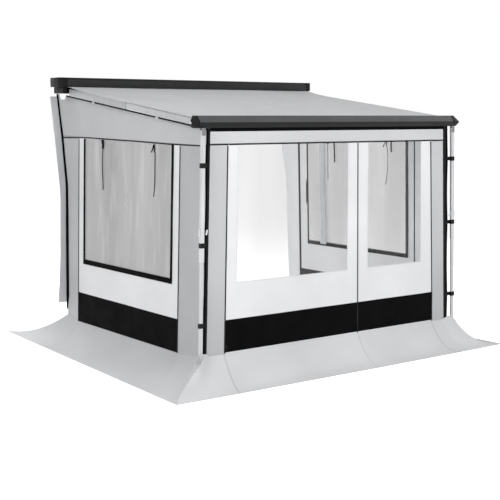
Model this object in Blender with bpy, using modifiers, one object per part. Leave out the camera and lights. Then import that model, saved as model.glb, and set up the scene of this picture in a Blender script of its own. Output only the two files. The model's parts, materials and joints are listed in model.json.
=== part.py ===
# Van awning room: cassette awning with arms, rafters and legs, and a zipped-on room with mud skirts
import bpy
import bmesh
import math
from mathutils import Matrix
from mathutils import Vector

# Overall frame: X across, Y from the front wall back to the van, Z up
FRONT_Y = -1.41823
GAP = 0.0003
CLOTH = 0.002
SEAM = 0.0005

# Front wall, measured at the height of the header line
HALF_W = 1.3506
HEAD_Z = 1.962
LEAN = 0.0264
LEAN_ANGLE = math.atan(LEAN)
EDGE_W = 0.042
VALANCE_TOP = 2.0922
STRIP_BOTTOM = 0.288
FRONT_BOTTOM = 0.255
ZIP_LEFT = -1.153
ZIP_MID = 0.262
ZIP_RIGHT = 1.17
WINDOW_SILL = 0.837
FRONT_WINDOWS = ((-1.05, 0.13), (0.372, 1.024))

# Side walls, Y measured back from the front wall
SIDE_BOTTOM = 0.217
SIDE_FRONT = 0.004
SIDE_ZIP_FRONT = 0.398
SIDE_ZIP_REAR = 2.158
SIDE_WINDOW = (0.50, 2.03)
SIDE_SILL = 0.80
HEAD_REAR_Z = 1.984
HEAD_FRONT_Z = 1.951
KEDER_FRONT_Z = 2.088
KEDER_SLOPE = 0.1223
WALL_REAR = ((0.3, 2.382), (0.885, 2.397), (1.52, 2.411), (1.789, 2.463), (1.982, 2.498))
KEDER_END = 2.431
GABLE_REAR_Y = KEDER_END + 0.176
GABLE_TIP_Z = 2.402
FLAP_WIDTH = ((0.376, 0.101), (0.6, 0.087), (0.818, 0.076), (1.37, 0.070), (1.603, 0.080), (1.992, 0.088), (2.375, 0.087))

# Roof, arms and rafters
ROOF_Z0 = 2.164
ROOF_SLOPE = 0.1262
ROOF_FRONT = 0.053
ROOF_ANGLE = math.atan(ROOF_SLOPE)
RAFTER_SPLIT = 1.13
RAFTER_SIZE = (0.034, 0.060)
RAFTER_TIP = (0.027, 0.052)
ARM_PLANE = 0.046
ARM_W = 0.030
ARM_H = 0.044

# Cassette, a little wider than the room
CASSETTE_HALF = HALF_W + 0.1014
CASSETTE_END = CASSETTE_HALF + 0.083
CASSETTE_FRONT = 2.177
CASSETTE_DEPTH = 0.2
CASSETTE_REAR = CASSETTE_FRONT + CASSETTE_DEPTH
BASE_DROP = 0.0407
CASSETTE_BASE = ROOF_Z0 + ROOF_SLOPE * CASSETTE_FRONT - BASE_DROP
BRACKET_H = 0.0596
CASSETTE_FACE = 0.0779
CASSETTE_LIP = CASSETTE_BASE + BRACKET_H
CASSETTE_TOP = CASSETTE_LIP + CASSETTE_FACE
BRACKET_W = 0.046
ROOF_HALF = CASSETTE_HALF - 0.002
ROOF_REAR = CASSETTE_FRONT + 0.113
RAFTER_X = ROOF_HALF - 0.028

# Pivots of the folding arms as (X, Y)
SHOULDER = (ROOF_HALF - 0.2, CASSETTE_FRONT - 0.042)
ELBOW = (ROOF_HALF - 0.475, CASSETTE_FRONT - 1.062)
WRIST = (ROOF_HALF - 0.2, 0.125)
SHEET = 0.004
ROLLER_Y = CASSETTE_FRONT + 0.108
ROLLER_R = 0.034
STUB_R = 0.0105

# Lead rail profile as (Y, Z)
RAIL = ((-0.008, 2.0925), (-0.015, 2.137), (0.023, 2.1905), (0.037, 2.1905), (0.079, 2.132), (0.06, 2.1), (0.036, 2.0925))
RAIL_WALL = 0.003
RAIL_HALF = ROOF_HALF - 0.015
RAIL_CAP = 0.012
RAIL_TAPER = 0.055

# Legs
LEG_X = {-1: HALF_W + 0.0609, 1: HALF_W + 0.0697}
LEG_TOP = 2.083
LEG_LEAN = {-1: 0.0202, 1: 0.0306}
LEG_Y = -0.016
LEG_SIZE = (0.036, 0.022)
LEG_WALL = 0.0024
LEG_SPLIT = 1.03
LEG_LAP = 0.30
PIN_Z = 2.058
PIN_R = 0.005
CLIP_Z = {-1: (1.798, 1.163, 0.517), 1: (1.788, 1.188, 0.495)}
CLIP_H = 0.040
CLIP_T = 0.0025
LEVER_Z = 1.29

# Mud skirts. TOP is (share of the length, X or distance out from the wall, Y, Z), HEM is (share, X, Y) on the ground,
# POWER is (share, power): how steeply the cloth falls away from the wall. Both front corners pass round the leg.
SKIRT_TOP_FRONT = FRONT_BOTTOM - 0.0004
SKIRT_TOP_SIDE = SIDE_BOTTOM - 0.0004
TIP_X = HALF_W + 0.5144
CORNER_Y = -0.035
CORNER = {-1: (HALF_W + 0.1194, 0.212), 1: (HALF_W + 0.1494, 0.229)}
FRONT_TOP = ((0.0, -CORNER[-1][0], CORNER_Y, CORNER[-1][1]), (0.012, -HALF_W - 0.0834, CORNER_Y, STRIP_BOTTOM),
             (0.021, -HALF_W - 0.05, -0.022, 0.284), (0.033, -HALF_W - 0.0114, -0.006, 0.256),
             (0.045, 0.0206 - HALF_W, 0.0, SKIRT_TOP_FRONT), (0.083, -1.205, 0.0, SKIRT_TOP_FRONT),
             (0.597, 0.2715, 0.0, SKIRT_TOP_FRONT), (0.926, 1.209, 0.0, SKIRT_TOP_FRONT),
             (0.955, HALF_W - 0.0206, 0.0, SKIRT_TOP_FRONT), (0.967, HALF_W + 0.0114, -0.006, 0.256),
             (0.979, HALF_W + 0.05, -0.022, 0.284), (0.988, HALF_W + 0.084, CORNER_Y, 0.284),
             (1.0, CORNER[1][0], CORNER_Y, CORNER[1][1]))
FRONT_HEM = ((0.0, -TIP_X, -0.312), (0.083, 0.597 - TIP_X, -0.322), (0.597, 0.265, -0.33), (0.926, TIP_X - 0.605, -0.322),
             (1.0, TIP_X, -0.312))
FRONT_POWER = ((0.0, 0.75), (0.012, 1.3), (0.033, 1.45), (0.083, 1.72), (0.16, 2.6), (0.926, 2.7), (0.967, 3.0),
               (0.988, 3.3), (1.0, 2.7))
SIDE_HEM = ((0.0, TIP_X, -0.312), (0.167, TIP_X - 0.0214, 0.158), (0.905, TIP_X - 0.1134, 2.18),
            (1.0, TIP_X - 0.163, 3.165))
SIDE_POWER = {-1: ((0.0, 0.75), (0.012, 1.0), (0.026, 1.4), (0.083, 2.2), (0.16, 2.6), (0.905, 2.9), (1.0, 2.1)),
              1: ((0.0, 2.7), (0.026, 3.0), (0.083, 2.8), (0.16, 2.6), (0.905, 2.9), (1.0, 2.1))}
SIDE_DROP = ((0.0, 0.008), (0.905, 0.008), (1.0, 0.045))
ZIP_BESIDE = 0.0075
SLIDER_Z = 0.312

for old in list(bpy.data.objects):
    bpy.data.objects.remove(old, do_unlink=True)
room = bpy.data.collections.new("van_awning_room")
cutters = bpy.data.collections.new("cutters")
bpy.context.scene.collection.children.link(room)
bpy.context.scene.collection.children.link(cutters)
cutters.hide_render = True

WHITE = (0.80, 0.80, 0.82)
GREY = (0.50, 0.50, 0.515)
PALE = (0.70, 0.70, 0.72)
BLACK = (0.012, 0.012, 0.014)
GRAPHITE = (0.045, 0.045, 0.052)
ALLOY = (0.72, 0.73, 0.74)
FOIL = (0.62, 0.62, 0.64)


def paint(obj, colour, rough=0.6, metal=0.0):
    mat = bpy.data.materials.new("mat_" + obj.name)
    mat.use_nodes = True
    shader = mat.node_tree.nodes["Principled BSDF"]
    shader.inputs["Base Color"].default_value = (*colour, 1.0)
    shader.inputs["Roughness"].default_value = rough
    shader.inputs["Metallic"].default_value = metal
    obj.data.materials.clear()
    obj.data.materials.append(mat)
    return obj


def keep(name, mesh, matrix=None):
    obj = bpy.data.objects.new(name, mesh)
    room.objects.link(obj)
    if matrix is not None:
        obj.matrix_world = matrix
    bpy.context.view_layer.update()
    return obj


def from_bmesh(name, bm, matrix=None):
    mesh = bpy.data.meshes.new(name)
    bmesh.ops.recalc_face_normals(bm, faces=bm.faces)
    bm.to_mesh(mesh)
    bm.free()
    return keep(name, mesh, matrix)


def slab(name, loops, thick, matrix):
    """A flat outline, with any holes as further loops, extruded to its thickness."""
    curve = bpy.data.curves.new(name, "CURVE")
    curve.dimensions = "2D"
    curve.fill_mode = "BOTH"
    curve.extrude = thick / 2
    for loop in loops:
        spline = curve.splines.new("POLY")
        spline.points.add(len(loop) - 1)
        for point, (u, v) in zip(spline.points, loop):
            point.co = (u, v, 0.0, 1.0)
        spline.use_cyclic_u = True
    drawn = keep(name + "_outline", curve, matrix)
    graph = bpy.context.evaluated_depsgraph_get()
    mesh = bpy.data.meshes.new_from_object(drawn.evaluated_get(graph))
    bpy.data.objects.remove(drawn, do_unlink=True)
    bm = bmesh.new()
    bm.from_mesh(mesh)
    bmesh.ops.remove_doubles(bm, verts=bm.verts, dist=1e-6)
    bmesh.ops.recalc_face_normals(bm, faces=bm.faces)
    bm.to_mesh(mesh)
    bm.free()
    return keep(name, mesh, matrix)


def block(name, size, centre, turn=None):
    bm = bmesh.new()
    bmesh.ops.create_cube(bm, size=1.0)
    bmesh.ops.scale(bm, vec=size, verts=bm.verts)
    matrix = Matrix.Translation(Vector(centre) + Vector((0.0, FRONT_Y, 0.0)))
    return from_bmesh(name, bm, matrix @ (turn or Matrix.Identity(4)))


def rod(name, radius, length, centre, axis="Z", sides=20, turn=None):
    bm = bmesh.new()
    bmesh.ops.create_cone(bm, cap_ends=True, segments=sides, radius1=radius, radius2=radius, depth=length)
    spin = {"X": Matrix.Rotation(math.pi / 2, 4, "Y"), "Y": Matrix.Rotation(math.pi / 2, 4, "X")}
    bmesh.ops.transform(bm, matrix=spin.get(axis, Matrix.Identity(4)), verts=bm.verts)
    matrix = Matrix.Translation(Vector(centre) + Vector((0.0, FRONT_Y, 0.0)))
    return from_bmesh(name, bm, matrix @ (turn or Matrix.Identity(4)))


def combine(obj, other, how):
    """Boolean of one piece with a helper, which goes to the cutters."""
    step = obj.modifiers.new(how.lower(), "BOOLEAN")
    step.operation = how
    step.solver = "EXACT"
    step.object = other
    room.objects.unlink(other)
    cutters.objects.link(other)
    other.hide_render = True
    other.display_type = "WIRE"
    return obj


def cut(obj, other):
    return combine(obj, other, "DIFFERENCE")


def weld(obj, other):
    return combine(obj, other, "UNION")


def bevel(obj, width, segments=2):
    step = obj.modifiers.new("edges", "BEVEL")
    step.width = width
    step.segments = segments
    step.limit_method = "ANGLE"
    step.angle_limit = math.radians(40)
    return obj


def set_origin(obj, point):
    """Moves the origin to a world point on the joint axis and leaves the shape where it is."""
    target = obj.matrix_world.copy()
    target.translation = Vector(point) + Vector((0.0, FRONT_Y, 0.0))
    obj.data.transform(target.inverted() @ obj.matrix_world)
    obj.matrix_world = target
    bpy.context.view_layer.update()
    return obj


def carry(child, parent):
    child.parent = parent
    child.matrix_parent_inverse = parent.matrix_world.inverted()
    return child


def front_frame(face):
    """Local x is X, local y is Z, and the slab's outer face lies at Y = face."""
    return Matrix(((1, 0, 0, 0), (0, 0, -1, FRONT_Y + face + CLOTH / 2), (0, 1, 0, 0), (0, 0, 0, 1)))


def side_frame(side, out=0.0, thick=CLOTH):
    """The leaning side wall, side -1 is the left one, with the slab's outer face this far outside it."""
    s = math.sin(LEAN_ANGLE)
    c = math.cos(LEAN_ANGLE)
    axes = Matrix(((0, -side * s, side * c, 0), (side, 0, 0, 0), (0, c, s, 0), (0, 0, 0, 1)))
    start = Matrix.Translation((side * HALF_W, FRONT_Y, HEAD_Z))
    return start @ axes @ Matrix.Translation((0, 0, out - thick / 2))


def side_loop(side, points):
    return [(side * y, (z - HEAD_Z) / math.cos(LEAN_ANGLE)) for y, z in points]


def side_x(z):
    return HALF_W + LEAN * (HEAD_Z - z)


def spread(x, z):
    """A front wall line that leans out towards the floor."""
    return x * (1.0 + LEAN * (HEAD_Z - z) / HALF_W)


def panel(x0, x1, z0, z1):
    return [(spread(x0, z0), z0), (spread(x1, z0), z0), (spread(x1, z1), z1), (spread(x0, z1), z1)]


def head_z(y):
    """Height of the side wall's header line."""
    share = (y - 0.1) / 2.35
    return HEAD_FRONT_Z + (HEAD_REAR_Z - HEAD_FRONT_Z) * share


def keder_z(y):
    return KEDER_FRONT_Z + KEDER_SLOPE * y


def roof_z(y):
    return ROOF_Z0 + ROOF_SLOPE * y


def rear_y(z):
    """Rear edge of the side wall, which follows the side of the van."""
    points = ((0.0, WALL_REAR[0][1]), *WALL_REAR, (GABLE_TIP_Z, GABLE_REAR_Y))
    for (z0, y0), (z1, y1) in zip(points, points[1:]):
        if z <= z1:
            return y0 + (y1 - y0) * (z - z0) / (z1 - z0)
    return GABLE_REAR_Y


def flap_width(z):
    for (z0, w0), (z1, w1) in zip(FLAP_WIDTH, FLAP_WIDTH[1:]):
        if z <= z1:
            return w0 + (w1 - w0) * (z - z0) / (z1 - z0)
    return FLAP_WIDTH[-1][1]


def roof_frame(x, y, below):
    """Axes of the roof slope: local x across, local y up the slope, local z off the cloth."""
    s = math.sin(ROOF_ANGLE)
    c = math.cos(ROOF_ANGLE)
    spot = (x, FRONT_Y + y, roof_z(y))
    axes = Matrix(((1, 0, 0, 0), (0, c, -s, 0), (0, s, c, 0), (0, 0, 0, 1)))
    return Matrix.Translation(spot) @ axes @ Matrix.Translation((0, 0, -below))


# Cassette housing, an extruded profile that is open at the front below its lip
c_front = CASSETTE_FRONT
c_rear = CASSETTE_REAR
outer = [(c_front, CASSETTE_LIP), (c_front + 0.002, CASSETTE_TOP - 0.018), (c_front + 0.018, CASSETTE_TOP)]
outer += [(c_rear - 0.012, CASSETTE_TOP), (c_rear, CASSETTE_TOP - 0.012), (c_rear, CASSETTE_BASE)]
outer += [(c_front + 0.03, CASSETTE_BASE), (c_front + 0.03, CASSETTE_BASE + SHEET)]
inner = [(c_rear - SHEET, CASSETTE_BASE + SHEET), (c_rear - SHEET, CASSETTE_TOP - 0.014)]
inner += [(c_rear - 0.014, CASSETTE_TOP - SHEET), (c_front + 0.02, CASSETTE_TOP - SHEET)]
inner += [(c_front + 0.006, CASSETTE_TOP - 0.02), (c_front + SHEET, CASSETTE_LIP)]
along_x = Matrix(((0, 0, 1, 0), (1, 0, 0, FRONT_Y), (0, 1, 0, 0), (0, 0, 0, 1)))
housing = slab("cassette_housing", [outer + inner], 2 * CASSETTE_HALF, along_x)
paint(housing, GRAPHITE, 0.45, 0.6)

roller_z = roof_z(ROLLER_Y) + (ROLLER_R + GAP) / math.cos(ROOF_ANGLE)
roller = rod("roller_tube", ROLLER_R, 2 * CASSETTE_HALF - 0.02, (0, ROLLER_Y, roller_z), "X", 32)
weld(roller, rod("roller_stubs", STUB_R, 2 * CASSETTE_HALF + 0.04, (0, ROLLER_Y, roller_z), "X", 32))
paint(roller, ALLOY, 0.35, 1.0)

for side, word in ((-1, "left"), (1, "right")):
    # End cap of the cassette with the roller's bearing, and the wall bracket below it
    cap_x = CASSETTE_HALF + GAP
    cap_w = CASSETTE_END - cap_x
    middle = (side * (cap_x + cap_w / 2), (c_front + c_rear) / 2, (CASSETTE_TOP + CASSETTE_LIP) / 2)
    cap = block("cassette_cap_" + word, (cap_w, c_rear - c_front, CASSETTE_TOP - CASSETTE_LIP), middle)
    shave = block("cap_corner_" + word, (0.08, 0.08, 3 * CASSETTE_FACE), (side * (CASSETTE_END + 0.0133), c_front - 0.012, middle[2]))
    shave.rotation_euler = (0, 0, side * math.radians(-38))
    cut(cap, shave)
    bevel(cap, 0.006, 2)
    cut(cap, rod("cap_bearing_" + word, STUB_R + GAP, 0.05, (side * cap_x, ROLLER_Y, roller_z), "X", 32))
    paint(cap, GRAPHITE, 0.5)
    base_z = (CASSETTE_BASE + CASSETTE_LIP - GAP) / 2
    hold = block("wall_bracket_" + word, (BRACKET_W, c_rear - c_front - 0.01, CASSETTE_LIP - GAP - CASSETTE_BASE),
                 (side * (cap_x + BRACKET_W / 2), (c_front + c_rear) / 2 + 0.005, base_z))
    paint(bevel(hold, 0.004, 1), BLACK, 0.5)
    if side > 0:
        eye_x = cap_x + BRACKET_W / 2
        cut(hold, rod("winch_bore", 0.006 + GAP, 0.04, (eye_x, ROLLER_Y, CASSETTE_BASE), "Z", 16))
        eye = rod("winch_eye", 0.006, 0.05, (eye_x, ROLLER_Y, CASSETTE_BASE - 0.008), "Z", 16)
        bpy.ops.mesh.primitive_torus_add(major_radius=0.016, minor_radius=0.004, major_segments=20, minor_segments=8,
                                         location=(eye_x, ROLLER_Y + FRONT_Y, CASSETTE_BASE - 0.046),
                                         rotation=(0, math.pi / 2, 0))
        loop = bpy.context.active_object
        for old_home in list(loop.users_collection):
            old_home.objects.unlink(loop)
        loop.name = "winch_loop"
        room.objects.link(loop)
        weld(eye, loop)
        set_origin(eye, (eye_x, ROLLER_Y, CASSETTE_BASE))
        paint(eye, ALLOY, 0.35, 1.0)

# Lead rail, a hollow extruded profile, with tapered end caps
centre_y = sum(y for y, z in RAIL) / len(RAIL)
centre_z = sum(z for y, z in RAIL) / len(RAIL)


def inset(points, distance):
    """The outline moved inwards by a wall thickness, edge by edge."""
    moved = []
    for before, here, after in zip(points[-1:] + points[:-1], points, points[1:] + points[:1]):
        a = (Vector(here) - Vector(before)).normalized()
        b = (Vector(after) - Vector(here)).normalized()
        normal_a = Vector((a.y, -a.x))
        normal_b = Vector((b.y, -b.x))
        bisector = (normal_a + normal_b).normalized()
        moved.append(tuple(Vector(here) + bisector * distance / max(0.3, bisector.dot(normal_a))))
    return moved


rail_outer = [tuple(p) for p in RAIL]
rail = slab("lead_rail", [rail_outer, inset(rail_outer, RAIL_WALL)], 2 * RAIL_HALF, along_x)
paint(rail, GRAPHITE, 0.4, 0.7)
for side, word in ((-1, "left"), (1, "right")):
    bm = bmesh.new()
    x0 = side * (RAIL_HALF + GAP)
    ring = [bm.verts.new((x0, y + FRONT_Y, z)) for y, z in RAIL]
    face = bm.faces.new(ring)
    back = bmesh.ops.extrude_face_region(bm, geom=[face])
    verts = [v for v in back["geom"] if isinstance(v, bmesh.types.BMVert)]
    bmesh.ops.translate(bm, vec=(side * RAIL_CAP, 0, 0), verts=verts)
    cap_face = [f for f in back["geom"] if isinstance(f, bmesh.types.BMFace)]
    tip = bmesh.ops.extrude_face_region(bm, geom=cap_face)
    bmesh.ops.delete(bm, geom=cap_face, context="FACES_ONLY")
    verts = [v for v in tip["geom"] if isinstance(v, bmesh.types.BMVert)]
    bmesh.ops.translate(bm, vec=(side * RAIL_TAPER, 0, 0), verts=verts)
    pivot = Matrix.Translation((0, -FRONT_Y - centre_y + 0.045, -2.134))
    bmesh.ops.scale(bm, vec=(1, 0.4, 0.2), verts=verts, space=pivot)
    cap = from_bmesh("lead_rail_cap_" + word, bm)
    paint(cap, BLACK, 0.5)

# Roof cloth on the slope between the rail and the roller
roof_length = (ROOF_REAR - ROOF_FRONT) / math.cos(ROOF_ANGLE)
roof = slab("roof_canopy", [[(-ROOF_HALF, 0), (ROOF_HALF, 0), (ROOF_HALF, roof_length - 0.07),
                             (ROOF_HALF - 0.02, roof_length - 0.07), (ROOF_HALF - 0.02, roof_length),
                             (0.02 - ROOF_HALF, roof_length), (0.02 - ROOF_HALF, roof_length - 0.07),
                             (-ROOF_HALF, roof_length - 0.07)]], CLOTH, roof_frame(0, ROOF_FRONT, CLOTH / 2))
paint(roof, GREY, 0.8)

for side, word in ((-1, "left"), (1, "right")):
    # Two-part tension rafter under the edge of the roof, the front part telescoping into the rear one
    w, h = RAFTER_SIZE
    drop = CLOTH + GAP + h / 2
    run = (CASSETTE_FRONT - GAP - 0.004 - RAFTER_SPLIT) / math.cos(ROOF_ANGLE)
    rear_part = block("rafter_rear_" + word, (w, run, h), (0, 0, 0))
    rear_part.matrix_world = roof_frame(side * RAFTER_X, RAFTER_SPLIT, drop) @ Matrix.Translation((0, run / 2, 0))
    tw, th = RAFTER_TIP
    lap = 0.18
    run_tip = (RAFTER_SPLIT - RAIL[4][0] - 0.008) / math.cos(ROOF_ANGLE) + lap
    tip_spot = Matrix.Translation((0, lap - run_tip / 2, 0))
    front_part = block("rafter_front_" + word, (tw, run_tip, th), (0, 0, 0))
    front_part.matrix_world = roof_frame(side * RAFTER_X, RAFTER_SPLIT, drop) @ tip_spot
    socket = block("rafter_socket_" + word, (tw + 2 * GAP, 2 * lap + 2 * GAP, th + 2 * GAP), (0, 0, 0))
    socket.matrix_world = roof_frame(side * RAFTER_X, RAFTER_SPLIT, drop)
    cut(rear_part, socket)
    paint(rear_part, GREY, 0.5, 0.2)
    paint(front_part, WHITE, 0.5)
    # Hook of each rafter that carries the keder of the gable
    for part, y in ((rear_part, 1.878), (front_part, 0.765)):
        reach = RAFTER_X - side_x(keder_z(y)) - GAP - 0.001
        hook = block("rafter_hook_%d_" % (y * 100) + word, (reach, 0.03, 0.006), (0, 0, 0))
        hook.matrix_world = roof_frame(side * (RAFTER_X - reach / 2), y, drop + RAFTER_TIP[1] / 2 - 0.0035)
        weld(part, hook)

    # Folding arm, drawn in the plane of the roof: shoulder bracket, upper arm and forearm
    def arm_at(x, y, up=0.0):
        return roof_frame(side * x, y, ARM_PLANE - up)

    def bar(name, start, end, width, height, back0, back1):
        a = arm_at(*start).translation
        b = arm_at(*end).translation
        length = (b - a).length
        tilt = roof_frame(0, 0, 0).to_3x3()
        local = tilt.inverted() @ (b - a)
        angle = math.atan2(local.y, local.x)
        turn = tilt.to_4x4() @ Matrix.Rotation(angle, 4, "Z")
        bar_obj = block(name, (length - back0 - back1, width, height), (0, 0, 0))
        middle = a + (b - a).normalized() * (back0 + (length - back0 - back1) / 2)
        bar_obj.matrix_world = Matrix.Translation(middle) @ turn
        return bar_obj

    def pivot_rod(name, spot, radius, height):
        made = rod(name, radius, height, (0, 0, 0), "Z", 20)
        made.matrix_world = arm_at(*spot)
        return made

    upper = bar("arm_upper_" + word, SHOULDER, ELBOW, ARM_W, ARM_H, 0.0, 0.028)
    weld(upper, pivot_rod("knuckle_s_" + word, SHOULDER, 0.018, ARM_H))
    weld(upper, bar("cheek_" + word, SHOULDER, ELBOW, ARM_W * 0.9, ARM_H + 0.012, 0.90, 0.0))
    weld(upper, pivot_rod("knuckle_e_" + word, ELBOW, 0.018, ARM_H + 0.012))
    cut(upper, pivot_rod("throat_" + word, ELBOW, 0.027, ARM_H - 0.010 + 2 * GAP))
    weld(upper, pivot_rod("elbow_pin_" + word, ELBOW, 0.006, ARM_H))
    cut(upper, pivot_rod("shoulder_bore_" + word, SHOULDER, 0.008 + GAP, 0.1))
    fore = bar("arm_fore_" + word, ELBOW, WRIST, ARM_W * 0.85, ARM_H - 0.010, 0.0, 0.0)
    weld(fore, pivot_rod("fore_knuckle_" + word, ELBOW, 0.015, ARM_H - 0.010))
    weld(fore, pivot_rod("wrist_knuckle_" + word, WRIST, 0.015, ARM_H - 0.010))
    cut(fore, pivot_rod("elbow_bore_" + word, ELBOW, 0.006 + GAP, 0.1))
    cut(fore, pivot_rod("wrist_bore_" + word, WRIST, 0.005 + GAP, 0.1))
    paint(upper, ALLOY, 0.4, 0.8)
    paint(fore, ALLOY, 0.4, 0.8)
    rail_lug = block("wrist_lug_" + word, (0.05, 0.087, 0.004), (side * WRIST[0], 0.0955, 2.1005))
    weld(rail, rail_lug)
    wrist_pin = pivot_rod("wrist_pin_" + word, WRIST, 0.005, 0.058)
    wrist_pin.matrix_world = arm_at(*WRIST, -0.009)
    weld(rail, wrist_pin)
    shoulder = block("arm_shoulder_" + word, (0.052, 0.092, ARM_H + 0.012), (0, 0, 0))
    shoulder.matrix_world = arm_at(SHOULDER[0], SHOULDER[1] + 0.018)
    slot = block("shoulder_slot_" + word, (0.08, 0.06, ARM_H + 2 * GAP), (0, 0, 0))
    slot.matrix_world = arm_at(SHOULDER[0], SHOULDER[1] - 0.008)
    cut(shoulder, slot)
    weld(shoulder, pivot_rod("shoulder_pin_" + word, SHOULDER, 0.008, ARM_H + 0.006))
    foot_z = CASSETTE_BASE + SHEET + GAP + 0.004
    weld(shoulder, block("shoulder_foot_" + word, (0.07, 0.06, 0.008), (side * SHOULDER[0], SHOULDER[1] + 0.08, foot_z)))
    paint(shoulder, BLACK, 0.5)

    # Leg: yoke under the rail, outer tube, inner tube with its foot plug, and the clamp lever
    head_x = LEG_X[side]

    def leg_x(z):
        return head_x + LEG_LEAN[side] * (2.0 - z)

    lean_turn = Matrix.Rotation(-side * math.atan(LEG_LEAN[side]), 4, "Y")

    def leg_at(z):
        return Matrix.Translation((side * leg_x(z), LEG_Y + FRONT_Y, z)) @ lean_turn

    lw, ld = LEG_SIZE
    yoke = block("leg_yoke_" + word, (0.046, ld + 0.0062, VALANCE_TOP - 2.034), (side * head_x, LEG_Y, (VALANCE_TOP + 2.034) / 2))
    cut(yoke, block("yoke_slot_" + word, (0.06, ld + 2 * GAP, LEG_TOP + 0.0025 - 2.0), (side * head_x, LEG_Y, (LEG_TOP + 0.0025 + 2.0) / 2)))
    weld(yoke, rod("yoke_pin_" + word, PIN_R, ld + 0.004, (side * leg_x(PIN_Z), LEG_Y, PIN_Z), "Y", 16))
    paint(yoke, ALLOY, 0.45, 0.5)
    tube_run = LEG_TOP - 0.006 - LEG_SPLIT
    tube_mid = LEG_SPLIT + tube_run / 2
    tube = block("leg_outer_" + word, (lw, ld, tube_run), (0, 0, 0))
    tube.matrix_world = leg_at(tube_mid)
    bore = block("leg_bore_" + word, (lw - 2 * LEG_WALL, ld - 2 * LEG_WALL, tube_run - 0.05), (0, 0, 0))
    bore.matrix_world = leg_at(tube_mid - 0.035)
    cut(tube, bore)
    cut(tube, rod("leg_pin_bore_" + word, PIN_R + GAP, 0.08, (side * leg_x(PIN_Z), LEG_Y, PIN_Z), "Y", 16))
    paint(tube, ALLOY, 0.4, 0.6)
    iw = lw - 2 * LEG_WALL - 2 * GAP
    idp = ld - 2 * LEG_WALL - 2 * GAP
    inner_run = LEG_SPLIT + LEG_LAP - 0.012
    stem = block("leg_inner_" + word, (iw, idp, inner_run), (0, 0, 0))
    stem.matrix_world = leg_at(0.012 + inner_run / 2)
    weld(stem, block("leg_plug_" + word, (0.034, 0.021, 0.024), (side * leg_x(0.012), LEG_Y, 0.012)))
    paint(stem, ALLOY, 0.35, 0.8)
    lever = block("leg_lever_" + word, (0.011, 0.016, 0.05), (0, 0, 0))
    lever_x = lw / 2 + GAP + 0.0055
    lever.matrix_world = leg_at(LEVER_Z - 0.028) @ Matrix.Translation((side * lever_x, 0, 0))
    lever_hub = rod("lever_hub_" + word, 0.0055, 0.018, (0, 0, 0), "Y", 16)
    lever_hub.matrix_world = leg_at(LEVER_Z) @ Matrix.Translation((side * lever_x, 0, 0))
    weld(lever, lever_hub)
    hub_spot = lever_hub.matrix_world.translation
    set_origin(lever, (hub_spot.x, hub_spot.y - FRONT_Y, hub_spot.z))
    paint(lever, WHITE, 0.4)

    # Black edge strip of the front wall with the three clips that hold the leg
    edge = HALF_W + EDGE_W / 2 + 0.002
    outline = panel(side * (edge - EDGE_W), side * edge, STRIP_BOTTOM, VALANCE_TOP)
    strip = slab("edge_strip_" + word, [outline if side > 0 else outline[::-1]], CLOTH, front_frame(0))
    for z in CLIP_Z[side]:
        tube_w, tube_d = LEG_SIZE
        hug = 0.0006
        band = block("clip_%d_" % (z * 1000) + word, (tube_w + 2 * (hug + CLIP_T), tube_d + 2 * (hug + CLIP_T), CLIP_H), (0, 0, 0))
        band.matrix_world = leg_at(z)
        room_for_leg = block("clip_hole_%d_" % (z * 1000) + word, (tube_w + 2 * hug, tube_d + 2 * hug, CLIP_H * 2), (0, 0, 0))
        room_for_leg.matrix_world = leg_at(z)
        inner_edge = spread(edge, z) - 0.012
        outer_edge = leg_x(z) - tube_w / 2 - hug - 0.0008
        tongue = block("clip_tongue_%d_" % (z * 1000) + word, (outer_edge - inner_edge, 0.005, CLIP_H * 0.8),
                       (side * (outer_edge + inner_edge) / 2, -0.001, z))
        weld(strip, tongue)
        weld(strip, band)
        cut(strip, room_for_leg)
    paint(strip, BLACK, 0.6)

    # Side wall: gable, rear strip, front strip, door panel, window and its two roll-up ties
    top_rear = keder_z(KEDER_END)
    head_rear = rear_y(HEAD_REAR_Z)
    gable = slab("gable_" + word, [side_loop(side, [
        (SIDE_FRONT, head_z(0) + SEAM), (head_rear, head_z(head_rear) + SEAM), (GABLE_REAR_Y, GABLE_TIP_Z),
        (GABLE_REAR_Y - 0.027, GABLE_TIP_Z - 0.002), (GABLE_REAR_Y - 0.057, GABLE_TIP_Z - 0.054),
        (KEDER_END + 0.039, top_rear - 0.0433), (KEDER_END, top_rear), (SIDE_FRONT, keder_z(SIDE_FRONT))])],
        CLOTH, side_frame(side))
    paint(gable, GREY, 0.8)
    rear_points = [(SIDE_ZIP_REAR + SEAM, SIDE_BOTTOM)]
    rear_points += [(y, z) for z, y in WALL_REAR[:-1]]
    rear_points += [(rear_y(head_z(head_rear)), head_z(head_rear)), (SIDE_ZIP_REAR + SEAM, head_z(SIDE_ZIP_REAR))]
    rear_strip = slab("side_rear_strip_" + word, [side_loop(side, rear_points)], CLOTH, side_frame(side))
    paint(rear_strip, GREY, 0.8)
    front_strip = slab("side_front_strip_" + word, [side_loop(side, [
        (SIDE_FRONT, FRONT_BOTTOM), (SIDE_ZIP_FRONT, SIDE_BOTTOM), (SIDE_ZIP_FRONT, head_z(SIDE_ZIP_FRONT)),
        (SIDE_FRONT, head_z(SIDE_FRONT))])], CLOTH, side_frame(side))
    paint(front_strip, GREY, 0.8)
    door_front = SIDE_ZIP_FRONT + SEAM
    door_loop = [(door_front, SIDE_BOTTOM), (SIDE_ZIP_REAR, SIDE_BOTTOM), (SIDE_ZIP_REAR, head_z(SIDE_ZIP_REAR) - SEAM),
                 (door_front, head_z(door_front) - SEAM)]
    w0, w1 = SIDE_WINDOW
    top_room = 0.030
    hole = [(w0, SIDE_SILL), (w1, SIDE_SILL), (w1, head_z(w1) - top_room), (w0, head_z(w0) - top_room)]
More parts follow.
